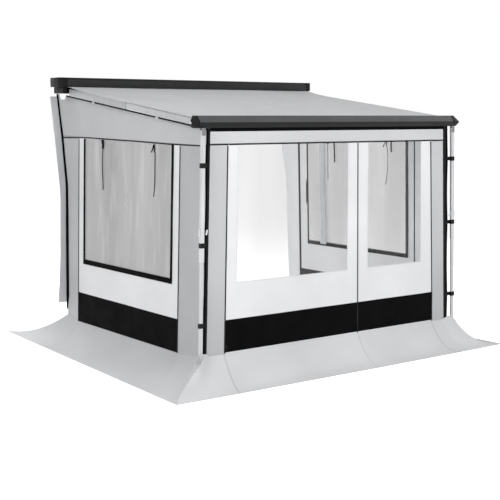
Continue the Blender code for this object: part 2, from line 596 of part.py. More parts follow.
    side_door = slab("side_door_" + word, [side_loop(side, door_loop), side_loop(side, hole)], CLOTH, side_frame(side))
    set_origin(side_door, (side * side_x(SIDE_BOTTOM), SIDE_ZIP_REAR, SIDE_BOTTOM))
    paint(side_door, WHITE, 0.7)
    lip = 0.0008
    pane = [(w0 + lip, SIDE_SILL + lip), (w1 - lip, SIDE_SILL + lip), (w1 - lip, head_z(w1) - top_room - lip),
            (w0 + lip, head_z(w0) - top_room - lip)]
    window = slab("side_window_" + word, [side_loop(side, pane)], CLOTH, side_frame(side))
    hinge_z = head_z((w0 + w1) / 2) - top_room - lip
    set_origin(window, (side * side_x(hinge_z), (w0 + w1) / 2, hinge_z))
    carry(window, side_door)
    paint(window, FOIL, 0.3)
    for y_top, y_low, low, end in ((1.695, 1.69, 1.51, "rear"), (0.81, 0.778, 1.50, "front")):
        top = head_z(y_top) - top_room - 0.012
        tie = slab("window_tie_" + word + "_" + end, [side_loop(side, [
            (y_low - 0.006, low), (y_low + 0.006, low), (y_top + 0.006, top), (y_top - 0.006, top)])],
            0.0015, side_frame(side, 0.0015 + GAP, 0.0015))
        carry(tie, window)
        paint(tie, BLACK, 0.7)

    # Draught flap: it turns outwards behind the wall's rear edge and lies against the van
    bm = bmesh.new()
    rings = []
    for z in sorted({z for z, width in FLAP_WIDTH} | {z for z, y in WALL_REAR[1:]} | {2.2}):
        inner = side_x(z) - CLOTH / 2
        outer = side_x(z) + flap_width(z)
        front = FRONT_Y + rear_y(z) + SEAM
        ring = ((inner, front), (outer, front), (outer, front + CLOTH), (inner, front + CLOTH))
        rings.append([bm.verts.new((side * x, y, z)) for x, y in ring])
    for low, high in zip(rings, rings[1:]):
        for a in range(4):
            b = (a + 1) % 4
            bm.faces.new((low[a], low[b], high[b], high[a]))
    bm.faces.new(rings[0])
    bm.faces.new(rings[-1])
    flap = from_bmesh("draught_flap_" + word, bm)
    paint(flap, PALE, 0.8)

# Front wall: valance, corner strips, two zip-in door panels and their windows
edge_in = HALF_W - EDGE_W / 2 + 0.002 - SEAM
valance = slab("front_valance", [panel(-edge_in, edge_in, HEAD_Z + SEAM, VALANCE_TOP)], CLOTH, front_frame(0))
paint(valance, PALE, 0.8)
corners = (("left", -edge_in, ZIP_LEFT - SEAM), ("right", ZIP_RIGHT + SEAM, edge_in))
for word, x0, x1 in corners:
    strip = slab("front_corner_" + word, [panel(x0, x1, FRONT_BOTTOM, HEAD_Z)], CLOTH, front_frame(0))
    paint(strip, PALE, 0.8)
doors = (("left", ZIP_LEFT, ZIP_MID - SEAM / 2, ZIP_LEFT), ("right", ZIP_MID + SEAM / 2, ZIP_RIGHT, ZIP_RIGHT))
for (word, x0, x1, hinge_x), (a, b) in zip(doors, FRONT_WINDOWS):
    frame_top = HEAD_Z - 0.030
    loops = [panel(x0, x1, FRONT_BOTTOM, HEAD_Z - SEAM), panel(a, b, WINDOW_SILL, frame_top)]
    door = slab("front_door_" + word, loops, CLOTH, front_frame(0))
    set_origin(door, (spread(hinge_x, FRONT_BOTTOM), 0, FRONT_BOTTOM))
    paint(door, WHITE, 0.7)
    sight = slab("front_window_" + word, [panel(a + 0.0008, b - 0.0008, WINDOW_SILL + 0.0008, frame_top - 0.0008)],
                 CLOTH, front_frame(0))
    carry(sight, door)
    paint(sight, FOIL, 0.1)
    zip_x = spread(x0, SLIDER_Z) + ZIP_BESIDE if word == "left" else spread(x1, SLIDER_Z) - ZIP_BESIDE
    slider = block("zip_slider_" + word, (0.012, 0.006, 0.02), (zip_x, -0.0036, SLIDER_Z))
    weld(slider, block("zip_pull_" + word, (0.006, 0.0025, 0.045), (zip_x, -0.0074, SLIDER_Z - 0.018)))
    paint(slider, BLACK, 0.4, 0.5)
mid_x = spread(ZIP_MID, SLIDER_Z) - ZIP_BESIDE
slider = block("zip_slider_middle", (0.012, 0.006, 0.02), (mid_x, -0.0036, SLIDER_Z))
weld(slider, block("zip_pull_middle", (0.006, 0.0025, 0.045), (mid_x, -0.0074, SLIDER_Z - 0.018)))
paint(slider, BLACK, 0.4, 0.5)


# Mud skirts: a grid bent to the flare, then given its thickness
def along(points, u):
    for (u0, *a), (u1, *b) in zip(points, points[1:]):
        if u <= u1 + 1e-9:
            t = (u - u0) / (u1 - u0)
            return [p + (q - p) * t for p, q in zip(a, b)]
    return list(points[-1][1:])


def flare(name, cells, top_of, hem_of, power_of, drop_of, flip):
    bm = bmesh.new()
    rows = 12
    bmesh.ops.create_grid(bm, x_segments=len(cells) - 1, y_segments=rows, size=0.5)
    for vert in bm.verts:
        u = cells[round((vert.co.x + 0.5) * (len(cells) - 1))]
        row = round((vert.co.y + 0.5) * rows)
        out = max(0.0, (row - 1) / (rows - 1)) ** 1.4
        top = Vector(top_of(u))
        hem = Vector(hem_of(u))
        flat = top.lerp(hem, out)
        hang = top.z - (drop_of(u) if row else 0.0)
        vert.co = (flat.x, flat.y + FRONT_Y, hang * (1 - out) ** power_of(u))
    mesh = bpy.data.meshes.new(name)
    bm.to_mesh(mesh)
    bm.free()
    if flip:
        mesh.flip_normals()
    made = keep(name, mesh)
    skin = made.modifiers.new("cloth", "SOLIDIFY")
    skin.thickness = CLOTH
    skin.offset = 1.0
    skin.use_even_offset = False
    return made


def cells_of(tables, step):
    """Places along the top edge: every mark of the tables, and steps between them."""
    marks = sorted({p[0] for table in tables for p in table})
    found = []
    for a, b in zip(marks, marks[1:]):
        count = max(1, math.ceil((b - a) / step))
        found += [a + (b - a) * k / count for k in range(count)]
    return found + [marks[-1]]


mitre = 0.0015
front_skirt = flare("skirt_front", cells_of((FRONT_TOP, FRONT_HEM, FRONT_POWER), 0.06), lambda u: along(FRONT_TOP, u),
                    lambda u: (*along(FRONT_HEM, u), 0.0), lambda u: along(FRONT_POWER, u)[0], lambda u: 0.008, True)
paint(front_skirt, PALE, 0.8)
for side, word in ((-1, "left"), (1, "right")):
    corner_x, corner_z = CORNER[side]
    corner_out = corner_x + mitre - side_x(corner_z)
    z_at = SKIRT_TOP_FRONT - (FRONT_BOTTOM - SIDE_BOTTOM) * 0.067 / SIDE_ZIP_FRONT
    side_top_rows = ((0.0, corner_out, CORNER_Y + mitre, corner_z), (0.012, corner_out, 0.012, corner_z + 0.002),
                     (0.026, 0.0, 0.067, z_at), (0.167, 0.0, SIDE_ZIP_FRONT, SKIRT_TOP_SIDE),
                     (0.905, 0.0, SIDE_ZIP_REAR, SKIRT_TOP_SIDE), (1.0, 0.0, WALL_REAR[0][1], WALL_REAR[0][0] - 0.0005))

    def side_top(u, side=side, rows=side_top_rows):
        out, y, z = along(rows, u)
        return (side * (side_x(z) + out), y, z)

    def side_hem(u, side=side):
        x, y = along(SIDE_HEM, u)
        return (side * (x + mitre), y + mitre, 0.0)

    made = flare("skirt_" + word, cells_of((side_top_rows, SIDE_HEM, SIDE_POWER[side]), 0.06), side_top, side_hem,
                 lambda u, side=side: along(SIDE_POWER[side], u)[0], lambda u: along(SIDE_DROP, u)[0], side > 0)
    paint(made, GREY, 0.8)
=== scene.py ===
# %% [markdown]
# # Dressing a van awning room
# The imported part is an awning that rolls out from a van, with a zip-on room hanging under it. Its solids
# already stand in the right places, so this lesson only adds what makes it look real: cloth that hangs in
# folds, zips, clear film, soft edges on the metal, and finishes made of nodes. Every new piece is tied to
# the body that it moves with.

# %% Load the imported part
import json
import math
import bpy
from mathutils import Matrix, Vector, noise

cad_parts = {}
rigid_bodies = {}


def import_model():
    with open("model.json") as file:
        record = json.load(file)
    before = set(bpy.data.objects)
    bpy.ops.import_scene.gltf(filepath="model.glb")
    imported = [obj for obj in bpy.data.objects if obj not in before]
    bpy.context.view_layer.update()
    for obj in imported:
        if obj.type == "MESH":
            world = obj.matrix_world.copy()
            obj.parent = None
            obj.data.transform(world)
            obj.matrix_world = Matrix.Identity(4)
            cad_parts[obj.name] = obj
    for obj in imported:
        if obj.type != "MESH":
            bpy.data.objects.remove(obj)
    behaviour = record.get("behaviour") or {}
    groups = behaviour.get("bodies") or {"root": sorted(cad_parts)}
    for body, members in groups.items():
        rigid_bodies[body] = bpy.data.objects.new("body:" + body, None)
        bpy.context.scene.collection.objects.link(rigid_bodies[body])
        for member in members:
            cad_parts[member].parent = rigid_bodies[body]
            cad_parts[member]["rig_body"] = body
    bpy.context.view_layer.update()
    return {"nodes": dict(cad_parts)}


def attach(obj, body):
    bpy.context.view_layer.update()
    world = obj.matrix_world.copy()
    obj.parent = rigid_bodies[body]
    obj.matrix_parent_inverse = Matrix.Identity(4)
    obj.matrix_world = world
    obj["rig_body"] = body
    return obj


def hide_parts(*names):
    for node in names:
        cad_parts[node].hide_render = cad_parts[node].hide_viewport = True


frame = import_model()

# %% [markdown]
# ## Camera
# The camera stands about 10 m away, in front of the left corner, at 2.2 m. A long lens from far away keeps
# the walls' lines nearly parallel. The numbers come from matching the straight edges of the room by least
# squares.

# %% Place the camera
bpy.ops.object.select_all(action="DESELECT")
tilt, turn = math.radians(82.901), math.radians(-36.668)
bpy.ops.object.camera_add(location=(-6.209, -8.49823, 2.191), rotation=(tilt, 0, turn))
camera = bpy.context.object
camera.data.lens = 77.781
camera.data.sensor_width = 36
bpy.context.scene.camera = camera
print("camera at", tuple(camera.location))

# %% [markdown]
# ## Node trees
# The world, the floor and every finish are small trees of nodes. A few helpers keep them short: one adds a
# node with its settings and links, and the others make the nodes that come again and again.

# %% Helpers for node trees
def link(tree, start, out, end, into):
    tree.links.new(start.outputs[out], end.inputs[into])


def node(tree, kind, links=(), **values):
    """Adds a node, sets its inputs or settings by name, and links (input, other node, output)."""
    made = tree.nodes.new("ShaderNode" + kind)
    for key, value in values.items():
        spot = key.replace("_", " ")
        if spot in made.inputs:
            made.inputs[spot].default_value = value
        else:
            setattr(made, key, value)
    for into, other, out in links:
        link(tree, other, out, made, into)
    return made


def finish(name, rough, metal=0.0, specular=0.5):
    made = bpy.data.materials.new(name)
    made.use_nodes = True
    shader = made.node_tree.nodes["Principled BSDF"]
    shader.inputs["Metallic"].default_value = metal
    shader.inputs["Specular IOR Level"].default_value = specular
    shader.inputs["Roughness"].default_value = rough
    return made, made.node_tree, shader


def in_range(tree, other, out, start, end, low, high):
    """A Map Range node that turns start into low and end into high."""
    return node(tree, "MapRange", [("Value", other, out)], From_Min=start, From_Max=end, To_Min=low,
        To_Max=high)


print("node helpers:", [helper.__name__ for helper in (link, node, finish, in_range)])

# %% [markdown]
# ## Floor and light
# A catalogue picture has a white floor that runs into a white background. The floor glows for the camera, in
# reflections and through film, but not as a lamp, so it reads as white and keeps the shadow. The world is
# white to the eye and dimmer as a lamp. Four large soft lamps shape the room: one in front, one from the
# left, one that shines in at the open van side, and one overhead. A small one inside stands in for the light
# that the pale linings throw about.

# %% White world
def seen_directly(tree):
    """1 for what the camera sees directly, in a reflection or through film, and 0 for light on the object."""
    path = node(tree, "LightPath")
    first = node(tree, "Math", [(0, path, "Is Camera Ray"), (1, path, "Is Glossy Ray")], operation="MAXIMUM")
    return node(tree, "Math", [(0, first, 0), (1, path, "Is Transmission Ray")], operation="MAXIMUM")


world = bpy.data.worlds.new("white_room")
bpy.context.scene.world = world
world.use_nodes = True
tree = world.node_tree
sky = tree.nodes["Background"]
sky.inputs["Color"].default_value = (1, 1, 1, 1)
level = in_range(tree, seen_directly(tree), 0, 0.0, 1.0, 0.30, 1.0)
link(tree, level, "Result", sky, "Strength")
print("world light", level.inputs["To Min"].default_value)

# %% Floor
bpy.ops.object.select_all(action="DESELECT")
bpy.ops.mesh.primitive_plane_add(size=120, location=(0, 0, -0.002))
floor = bpy.context.object
floor.name = "studio_floor"
paper, tree, face = finish("studio_paper", 0.9, specular=0.1)
face.inputs["Base Color"].default_value = (0.5, 0.5, 0.5, 1)
face.inputs["Emission Color"].default_value = (1, 1, 1, 1)
glow = node(tree, "Math", [(0, seen_directly(tree), 0)], operation="MULTIPLY")
glow.inputs[1].default_value = 0.86
link(tree, glow, 0, face, "Emission Strength")
floor.data.materials.append(paper)
print("floor at", round(floor.location.z, 4), "m")


# %% Soft lamps
def soft_lamp(name, place, target, size, power):
    bpy.ops.object.light_add(type="AREA", location=place)
    lamp = bpy.context.object
    lamp.name = name
    lamp.data.shape = "DISK"
    lamp.data.size = size
    lamp.data.energy = power
    lamp.rotation_euler = (Vector(target) - Vector(place)).to_track_quat("-Z", "Y").to_euler()
    lamp.visible_camera = False
    lamp.visible_glossy = False
    return lamp


soft_lamp("lamp_front", (-0.2, -9.0, 6.0), (0, -1.2, 1.2), 5.0, 600)
soft_lamp("lamp_left", (-9.0, -2.5, 5.0), (-1.3, 0, 1.2), 5.0, 395)
soft_lamp("lamp_van_side", (-1.5, 6.5, 2.4), (0.9, 0.2, 1.2), 3.5, 490)
soft_lamp("lamp_top", (0.5, 0.5, 9.0), (0, 0, 2), 6.0, 150)
soft_lamp("lamp_inside", (-0.7, 0.1, 1.5), (1.35, 0.2, 1.0), 1.0, 8)

# %% [markdown]
# ## Finishes
# Each finish is a small tree of nodes on the Principled shader. The weave of cloth and the streaks of film
# read the sheet's own UV map, so that they follow it round every fold. Broad tones and creases, and all of
# metal and plastic, read Object coordinates. Each finish has three scales of detail, as a real surface has:
# broad tone changes, a middle scale of creases or cloudiness, and a fine grain that only shows close up.

# %% Helpers for tones
def tone(value, tint=0.0):
    """A grey as it looks on the screen, 0 to 255, a little bluer with tint."""
    share = value / 255
    straight = share / 12.92 if share <= 0.04045 else ((share + 0.055) / 1.055) ** 2.4
    return (straight * (1 - tint), straight * (1 - tint * 0.6), straight * (1 + tint * 0.6), 1)


def clouded(tree, coord, out, scale, low, high, detail=3.0):
    """Noise turned into values between low and high."""
    cloud = node(tree, "TexNoise", [("Vector", coord, out)], Scale=scale, Detail=detail, Roughness=0.55)
    return in_range(tree, cloud, "Fac", 0.3, 0.7, low, high)


def colour_between(tree, first, second, share):
    """A Mix node set to colours has them in sockets 6 and 7, and its result in socket 2."""
    mix = node(tree, "Mix", [(0, share, "Result")], data_type="RGBA")
    mix.inputs[6].default_value = first
    mix.inputs[7].default_value = second
    return mix


print("middle grey as a tone:", [round(share, 3) for share in tone(128)])


# %% Cloth
def cloth_finish(name, value, tint=0.02, thread=0.0014, rough=0.62, crease=0.35, sheen=0.15, specular=0.35,
        foot=1.0):
    """Woven cloth of this grey. thread is the weave's pitch in metres, and foot is painted shade that darkens
    the lowest metre.
    """
    made, tree, shader = finish(name, rough, specular=specular)
    where = node(tree, "TexCoord")
    share = clouded(tree, where, "Object", 1.3, 0.0, 1.0)
    mix = colour_between(tree, tone(value * 0.972, tint), tone(value * 1.02, tint), share)
    # Painted shade: the cloth turns darker towards its foot, over the lowest metre.
    height = node(tree, "SeparateXYZ", [("Vector", where, "UV")])
    painted_foot_shade = in_range(tree, height, "Y", 0.25, 1.1, foot, 1.0)
    shaded = node(tree, "HueSaturation", [("Value", painted_foot_shade, "Result"), ("Color", mix, 2)])
    link(tree, shaded, 0, shader, "Base Color")
    link(tree, clouded(tree, where, "Object", 9.0, rough - 0.06, rough + 0.08), "Result", shader, "Roughness")
    # A wave of scale 1 repeats every 0.314 metres.
    turns = 0.314 / thread
    warp = node(tree, "TexWave", [("Vector", where, "UV")], Scale=turns, bands_direction="X")
    weft = node(tree, "TexWave", [("Vector", where, "UV")], Scale=turns, bands_direction="Y")
    weave = node(tree, "Math", [(0, warp, "Fac"), (1, weft, "Fac")], operation="MULTIPLY")
    fine = node(tree, "Bump", [("Height", weave, 0)], Strength=0.25, Distance=0.0003)
    folds = node(tree, "TexNoise", [("Vector", where, "Object")], Scale=3.2, Detail=4.0, Distortion=0.6)
    broad = node(tree, "Bump", [("Height", folds, "Fac"), ("Normal", fine, "Normal")], Strength=crease,
        Distance=0.012)
    link(tree, broad, "Normal", shader, "Normal")
    shader.inputs["Sheen Weight"].default_value = sheen
    return made


wall_grey = cloth_finish("wall_cloth_grey", 194)
strip_grey = cloth_finish("side_strip_cloth_grey", 182)
lining_pale = cloth_finish("inner_coating_pale", 236, crease=0.2)
# The front corners get painted shade towards the ground.
corner_grey = cloth_finish("front_corner_cloth_grey", 198, foot=0.86)
front_grey = cloth_finish("front_cloth_pale_grey", 206)
panel_white = cloth_finish("panel_cloth_white", 231, tint=0.012, rough=0.5, crease=0.22)
canopy_grey = cloth_finish("canopy_coated_cloth", 167, thread=0.0011, rough=0.55, crease=0.18)
kick_black = cloth_finish("kick_band_black", 6, tint=0.12, rough=0.75, crease=0.3, sheen=0.0, specular=0.06)
strip_black = cloth_finish("edge_strip_black", 5, tint=0.10, thread=0.0018, rough=0.75, sheen=0.0,
    specular=0.05)
seam_grey = cloth_finish("seam_thread_grey", 158, thread=0.003, crease=0.1)
seam_pale = cloth_finish("seam_weld_pale", 219, thread=0.003, crease=0.1)
skirt_seam = cloth_finish("skirt_seam_grey", 174, thread=0.003, crease=0.1)
flap_grey = cloth_finish("draught_flap_cloth", 212)
skirt_side = cloth_finish("skirt_cloth_side", 183, crease=0.25)
skirt_front = cloth_finish("skirt_cloth_front", 203, crease=0.25)
screen_pale = cloth_finish("gathered_screen_cloth", 240, thread=0.0009, crease=0.9)
curtain_grey = cloth_finish("window_screen_cloth", 218, thread=0.0009, crease=0.7)
print("cloth finishes:", len(bpy.data.materials))


# %% Clear film
def film_finish(name, haze, value, streak, slant=0.0, contrast=0.5, creases=0.0):
    """Clear window film, mostly see-through, with a haze in soft streaks and a few thin light creases."""
    made, tree, shader = finish(name, 0.16)
    where = node(tree, "TexCoord")
    stretch = node(tree, "Mapping", [("Vector", where, "UV")], Scale=(streak, streak * 0.14, 1),
        Rotation=(0, 0, slant))
    share = clouded(tree, stretch, "Vector", 1.0, haze * (1 - contrast), haze * (1 + contrast), detail=2.0)
    link(tree, share, "Result", shader, "Alpha")
    tones = clouded(tree, stretch, "Vector", 1.7, 0, 1, detail=2.0)
    mix = colour_between(tree, tone(value * 0.95), tone(value * 1.06), tones)
    narrow = node(tree, "Mapping", [("Vector", where, "UV")], Scale=(13.0, 1.9, 1), Rotation=(0, 0, slant))
    fold = node(tree, "TexNoise", [("Vector", narrow, "Vector")], Scale=1.0, Detail=1.5, Distortion=0.25)
    edge = in_range(tree, fold, "Fac", 0.52, 0.74, 0.0, creases)
    crease = node(tree, "Mix", [(0, edge, "Result"), (6, mix, 2)], data_type="RGBA")
    crease.inputs[7].default_value = tone(254)
    link(tree, crease, 2, shader, "Base Color")
    ripple = node(tree, "TexNoise", [("Vector", stretch, "Vector")], Scale=1.3, Detail=2.0, Distortion=0.5)
    bump = node(tree, "Bump", [("Height", ripple, "Fac")], Strength=0.3, Distance=0.008)
    link(tree, bump, "Normal", shader, "Normal")
    return made


front_film = film_finish("front_window_film", 0.12, 128, streak=1.4)
side_film = film_finish("side_window_film", 0.5, 208, streak=1.5, slant=0.7, contrast=0.28, creases=0.4)
clear_film = film_finish("side_window_film_clear", 0.31, 158, streak=1.6, slant=0.5, contrast=0.26,
    creases=0.2)
print("film finishes:", [film.name for film in (front_film, side_film, clear_film)])

# %% Metal and plastic
WEAR = 0.06


def hard_finish(name, value, rough, metal=0.0, grain=900.0, tint=0.02, brushed=False, specular=0.5):
    """Paint, plastic or metal of this grey, a little lighter and darker in places, with a fine grain."""
    made, tree, shader = finish(name, rough, metal, specular)
    where = node(tree, "TexCoord")
    coord, out = where, "Object"
    if brushed:
        coord = node(tree, "Mapping", [("Vector", where, "Object")], Scale=(30, 30, 1.0))
        out = "Vector"
    share = clouded(tree, coord, out, 5.0, 0.0, 1.0)
    mix = colour_between(tree, tone(value * (1 - WEAR), tint), tone(value * (1 + WEAR), tint), share)
    link(tree, mix, 2, shader, "Base Color")
    link(tree, clouded(tree, coord, out, 14.0, rough * 0.8, rough * 1.25), "Result", shader, "Roughness")
    speck = node(tree, "TexNoise", [("Vector", where, "Object")], Scale=grain, Detail=2.0)
    bump = node(tree, "Bump", [("Height", speck, "Fac")], Strength=0.12, Distance=0.0003)
    link(tree, bump, "Normal", shader, "Normal")
    return made


anthracite = hard_finish("powder_coat_anthracite", 32, 0.45, tint=0.05, specular=0.3)
cap_black = hard_finish("cap_plastic_black", 17, 0.5, tint=0.06, specular=0.2)
rail_grey = hard_finish("rail_powder_coat", 67, 0.4, metal=0.1, tint=0.05, specular=0.4)
# Painted shade: a darker copy of the rail's coat, for its faces that look down or to the front.
rail_painted_shade = hard_finish("rail_powder_coat_lower", 29, 0.45, tint=0.05, specular=0.2)
anodised = hard_finish("anodised_aluminium", 205, 0.36, metal=0.55, brushed=True)
rafter_metal = hard_finish("rafter_grey", 180, 0.45, metal=0.2, brushed=True)
rafter_pale = hard_finish("rafter_pale_grey", 192, 0.45, brushed=True)
cast_grey = hard_finish("cast_yoke_grey", 128, 0.4, metal=0.3)
clip_black = hard_finish("clip_plastic_black", 14, 0.5, tint=0.06, specular=0.2)
strip_soft = cloth_finish("edge_strip_tape", 30, tint=0.06, thread=0.0018, rough=0.7, sheen=0.0,
    specular=0.08)
zip_black = hard_finish("zip_coil_black", 30, 0.6, tint=0.06, grain=400.0, specular=0.15)
white_plastic = hard_finish("white_plastic", 238, 0.35)
print("finishes:", len(bpy.data.materials))

# %% [markdown]
# ## Sheets of cloth
# A wall of the room is one flat cloth with welded seams. The grid primitive is the natural start: its lines
# are moved to the places of the seams, hems and window edges, the faces inside a window are deleted, and a
# Solidify modifier gives the cloth its thickness. A real cloth is never flat, so a wrinkle is added that
# fades out at every seam.

# %% The room's lines, in metres
# FRONT_Y is the front wall, and depths are counted from it towards the van. HALF_W is half the width at the
# header, HEAD_Z the header's height, LEAN how far a side wall leans out for each metre down, and SEAM half a
# seam's gap.
FRONT_Y = -1.41823
HALF_W = 1.3506
HEAD_Z = 1.962
LEAN = 0.0264
SEAM = 0.0005
ZIP_LEFT, ZIP_MID, ZIP_RIGHT = -1.153, 0.262, 1.17
VALANCE_TOP = 2.0922
FRONT_BOTTOM, FRONT_KICK, FRONT_SILL = 0.255, 0.532, 0.837
SIDE_BOTTOM, SIDE_KICK, SIDE_SILL = 0.217, 0.502, 0.80
ZIP_FRONT, ZIP_REAR = 0.398, 2.158
STRIP_BOTTOM = 0.288
SIDE_FRONT = 0.004
WINDOW = (0.50, 2.03)
KEDER_END = 2.431
TIP = (2.607, 2.402)
FLAP_WIDTH = ((0.376, 0.101), (0.6, 0.087), (0.818, 0.076), (1.37, 0.070), (1.603, 0.080), (1.992, 0.088),
    (2.375, 0.087))
REAR_LINE = ((0.0, 2.382), (0.3, 2.382), (0.885, 2.397), (1.52, 2.411), (1.789, 2.463), (1.982, 2.498),
    (TIP[1], TIP[0]))
LEAN_IN = ((0.13, 0.0), (ZIP_MID, 0.012), (0.372, 0.0), (1.024, 0.0), (ZIP_RIGHT, 0.024), (HALF_W, 0.0))
SIDES = ((-1, "left"), (1, "right"))
print("front wall", round(2 * HALF_W, 3), "m wide at its header")


# %% Points on the walls
def side_x(z):
    return HALF_W + LEAN * (HEAD_Z - z)


def spread(x, z):
    return x * (1 + LEAN * (HEAD_Z - z) / HALF_W)


def head_z(y):
    return 1.951 + 0.033 * (y - 0.1) / 2.35


def keder_z(y):
    return 2.088 + 0.1223 * y


def roof_z(y):
    return 2.164 + 0.1262 * y


def between(points, at):
    """Straight lines through (place, value) points."""
    for (a, low), (b, high) in zip(points, points[1:]):
        if at <= b:
            return low + (high - low) * (at - a) / (b - a)
    return points[-1][1]


def rear_y(z):
    return between(REAR_LINE, z)


def front_point(x, z, out):
    """The front wall. Its middle and right zips lean a little to the left at the top."""
    share = between(LEAN_IN, x) if x > LEAN_IN[0][0] and z < HEAD_Z + 0.001 else 0.0
    lean_in = share * max(0.0, (z - 0.5) / (HEAD_Z - 0.5))
    return Vector((spread(x - lean_in, z), FRONT_Y + 0.001 - out, z))


def side_point(side, y, z, out):
    return Vector((side * (side_x(z) - 0.001 + out), FRONT_Y + y, z))


print("side wall leans out", round(1000 * (side_x(0.2) - HALF_W), 1), "mm at its foot")


# %% Grid lines and selection
def lines(*marks, step=0.03):
    """Grid lines at every mark and evenly between them."""
    found = [marks[0]]
    for a, b in zip(marks, marks[1:]):
        count = max(1, round((b - a) / step))
        found += [a + (b - a) * (k + 1) / count for k in range(count)]
    return found


def pick(piece):
    bpy.ops.object.select_all(action="DESELECT")
    piece.select_set(True)
    bpy.context.view_layer.objects.active = piece


def choose_faces(piece, wanted):
    """Goes into edit mode with only these faces selected."""
    pick(piece)
    bpy.context.tool_settings.mesh_select_mode = (False, False, True)
    bpy.ops.object.mode_set(mode="EDIT")
    bpy.ops.mesh.select_all(action="DESELECT")
    bpy.ops.object.mode_set(mode="OBJECT")
    for number in wanted:
        piece.data.polygons[number].select = True
    bpy.ops.object.mode_set(mode="EDIT")


def apply_all(piece):
    pick(piece)
    for modifier in list(piece.modifiers):
        bpy.ops.object.modifier_apply(modifier=modifier.name)


print("lines from 0 to 0.1:", [round(mark, 4) for mark in lines(0, 0.1)])


# %% Lay a sheet
def lay_sheet(name, across, up, place, finishes, region=None, holes=(), thick=0.0012):
    """A grid with its lines at across and up, which place(a, b) puts in the room. Its UV map holds a and b:
    metres, a share of a length or a row. region(a, b) picks a face's finish. A hole's faces are deleted."""
    bpy.ops.object.select_all(action="DESELECT")
    bpy.ops.mesh.primitive_grid_add(x_subdivisions=len(across) - 1, y_subdivisions=len(up) - 1, size=1)
    piece = bpy.context.object
    piece.name = piece.data.name = name
    mesh = piece.data
    at = []
    for v in mesh.vertices:
        at.append((across[round((v.co.x + 0.5) * (len(across) - 1))],
            up[round((v.co.y + 0.5) * (len(up) - 1))]))
    for loop in mesh.loops:
        mesh.uv_layers.active.data[loop.index].uv = at[loop.vertex_index]
    for material in finishes:
        mesh.materials.append(material)
    inside = []
    for f in mesh.polygons:
        a = sum(at[i][0] for i in f.vertices) / 4
        b = sum(at[i][1] for i in f.vertices) / 4
        if region:
            f.material_index = region(a, b)
        if any(a0 < a < a1 and b0 < b < b1 for a0, a1, b0, b1 in holes):
            inside.append(f.index)
    for v, (a, b) in zip(mesh.vertices, at):
        v.co = place(a, b)
    if inside:
        choose_faces(piece, inside)
        bpy.ops.mesh.delete(type="FACE")
        bpy.ops.object.mode_set(mode="OBJECT")
    skin = piece.modifiers.new("thickness", "SOLIDIFY")
    skin.thickness = thick
    skin.offset = 0
    apply_all(piece)
    piece.select_set(True)
    bpy.ops.object.shade_smooth_by_angle(angle=math.radians(50))
    return piece


print("a sheet of cloth is", 1000 * lay_sheet.__defaults__[-1], "mm thick")


# %% Wrinkles
def noise_at(x, y, z):
    return noise.noise(Vector((x, y, z)))


def wrinkle(a, b, seed, size=0.003, fine=0.001):
    broad = noise_at(a * 2.1, b * 1.3, seed)
    small = noise_at(a * 9.0, b * 5.0, seed + 7)
    return broad * size + small * fine


def fade(value, low, high, room=0.06):
    """0 at the edges low and high, 1 further in than room."""
    t = max(0.0, min(1.0, min(value - low, high - value) / room))
    return t * t * (3 - 2 * t)


print("a wrinkle, for example:", round(1000 * wrinkle(0.5, 1.0, 1.0), 2), "mm")


# %% Tie a piece to its body
def settle(piece, body, slot, *nodes):
    """Ties a finished piece to its body and hides the nodes that it stands for."""
    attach(piece, body)
    if nodes:
        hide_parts(*nodes)
    return piece


# %% [markdown]
# ## Front wall
# The front wall has a valance under the rail, a narrow strip at each corner, and two white panels that zip
# out. Each panel has a black kick band at its foot and a clear window. The seams beside the windows are
# welds about 8 mm wide, so they get grid lines of their own and a darker finish.

# %% Valance
EDGE_IN = HALF_W - 0.019 - SEAM
VALANCE_SEAM, BEAD_BOTTOM = 1.97, 2.064


def valance_place(x, z):
    return front_point(x, z, wrinkle(x, z, 1.5, 0.002) * fade(z, HEAD_Z, VALANCE_TOP, 0.03))


def valance_region(x, z):
    return 1 if z > BEAD_BOTTOM else 2 if z < VALANCE_SEAM else 0


valance = lay_sheet("front_valance_cloth", lines(-EDGE_IN, EDGE_IN, step=0.04),
    lines(HEAD_Z + SEAM, VALANCE_SEAM, BEAD_BOTTOM, VALANCE_TOP + 0.003, step=0.015), valance_place,
    (front_grey, strip_black, seam_grey), valance_region)
settle(valance, "room_frame", "pale_cloth", "front_valance")
print("valance", round(2 * EDGE_IN, 3), "m long")

# %% Corner strips
def named(start):
    """The names of the pieces that start so."""
    return [o.name for o in bpy.data.objects if o.name.startswith(start)]


CORNER_HEM = 0.259
for word, x0, x1 in (("left", -EDGE_IN, ZIP_LEFT - SEAM), ("right", ZIP_RIGHT + SEAM, EDGE_IN)):
    def corner_place(x, z):
        return front_point(x, z, wrinkle(x * 2, z, x0, 0.003, 0.0012) * fade(x, x0, x1, 0.05))

    strip = lay_sheet("front_corner_cloth_" + word, lines(x0, x1, step=0.02),
        lines(FRONT_BOTTOM, CORNER_HEM, HEAD_Z, step=0.03), corner_place, (corner_grey, seam_grey),
        lambda x, z: 1 if z < CORNER_HEM else 0)
    settle(strip, "room_frame", "pale_cloth", "front_corner_" + word)
print("corner strips:", named("front_corner_cloth"))

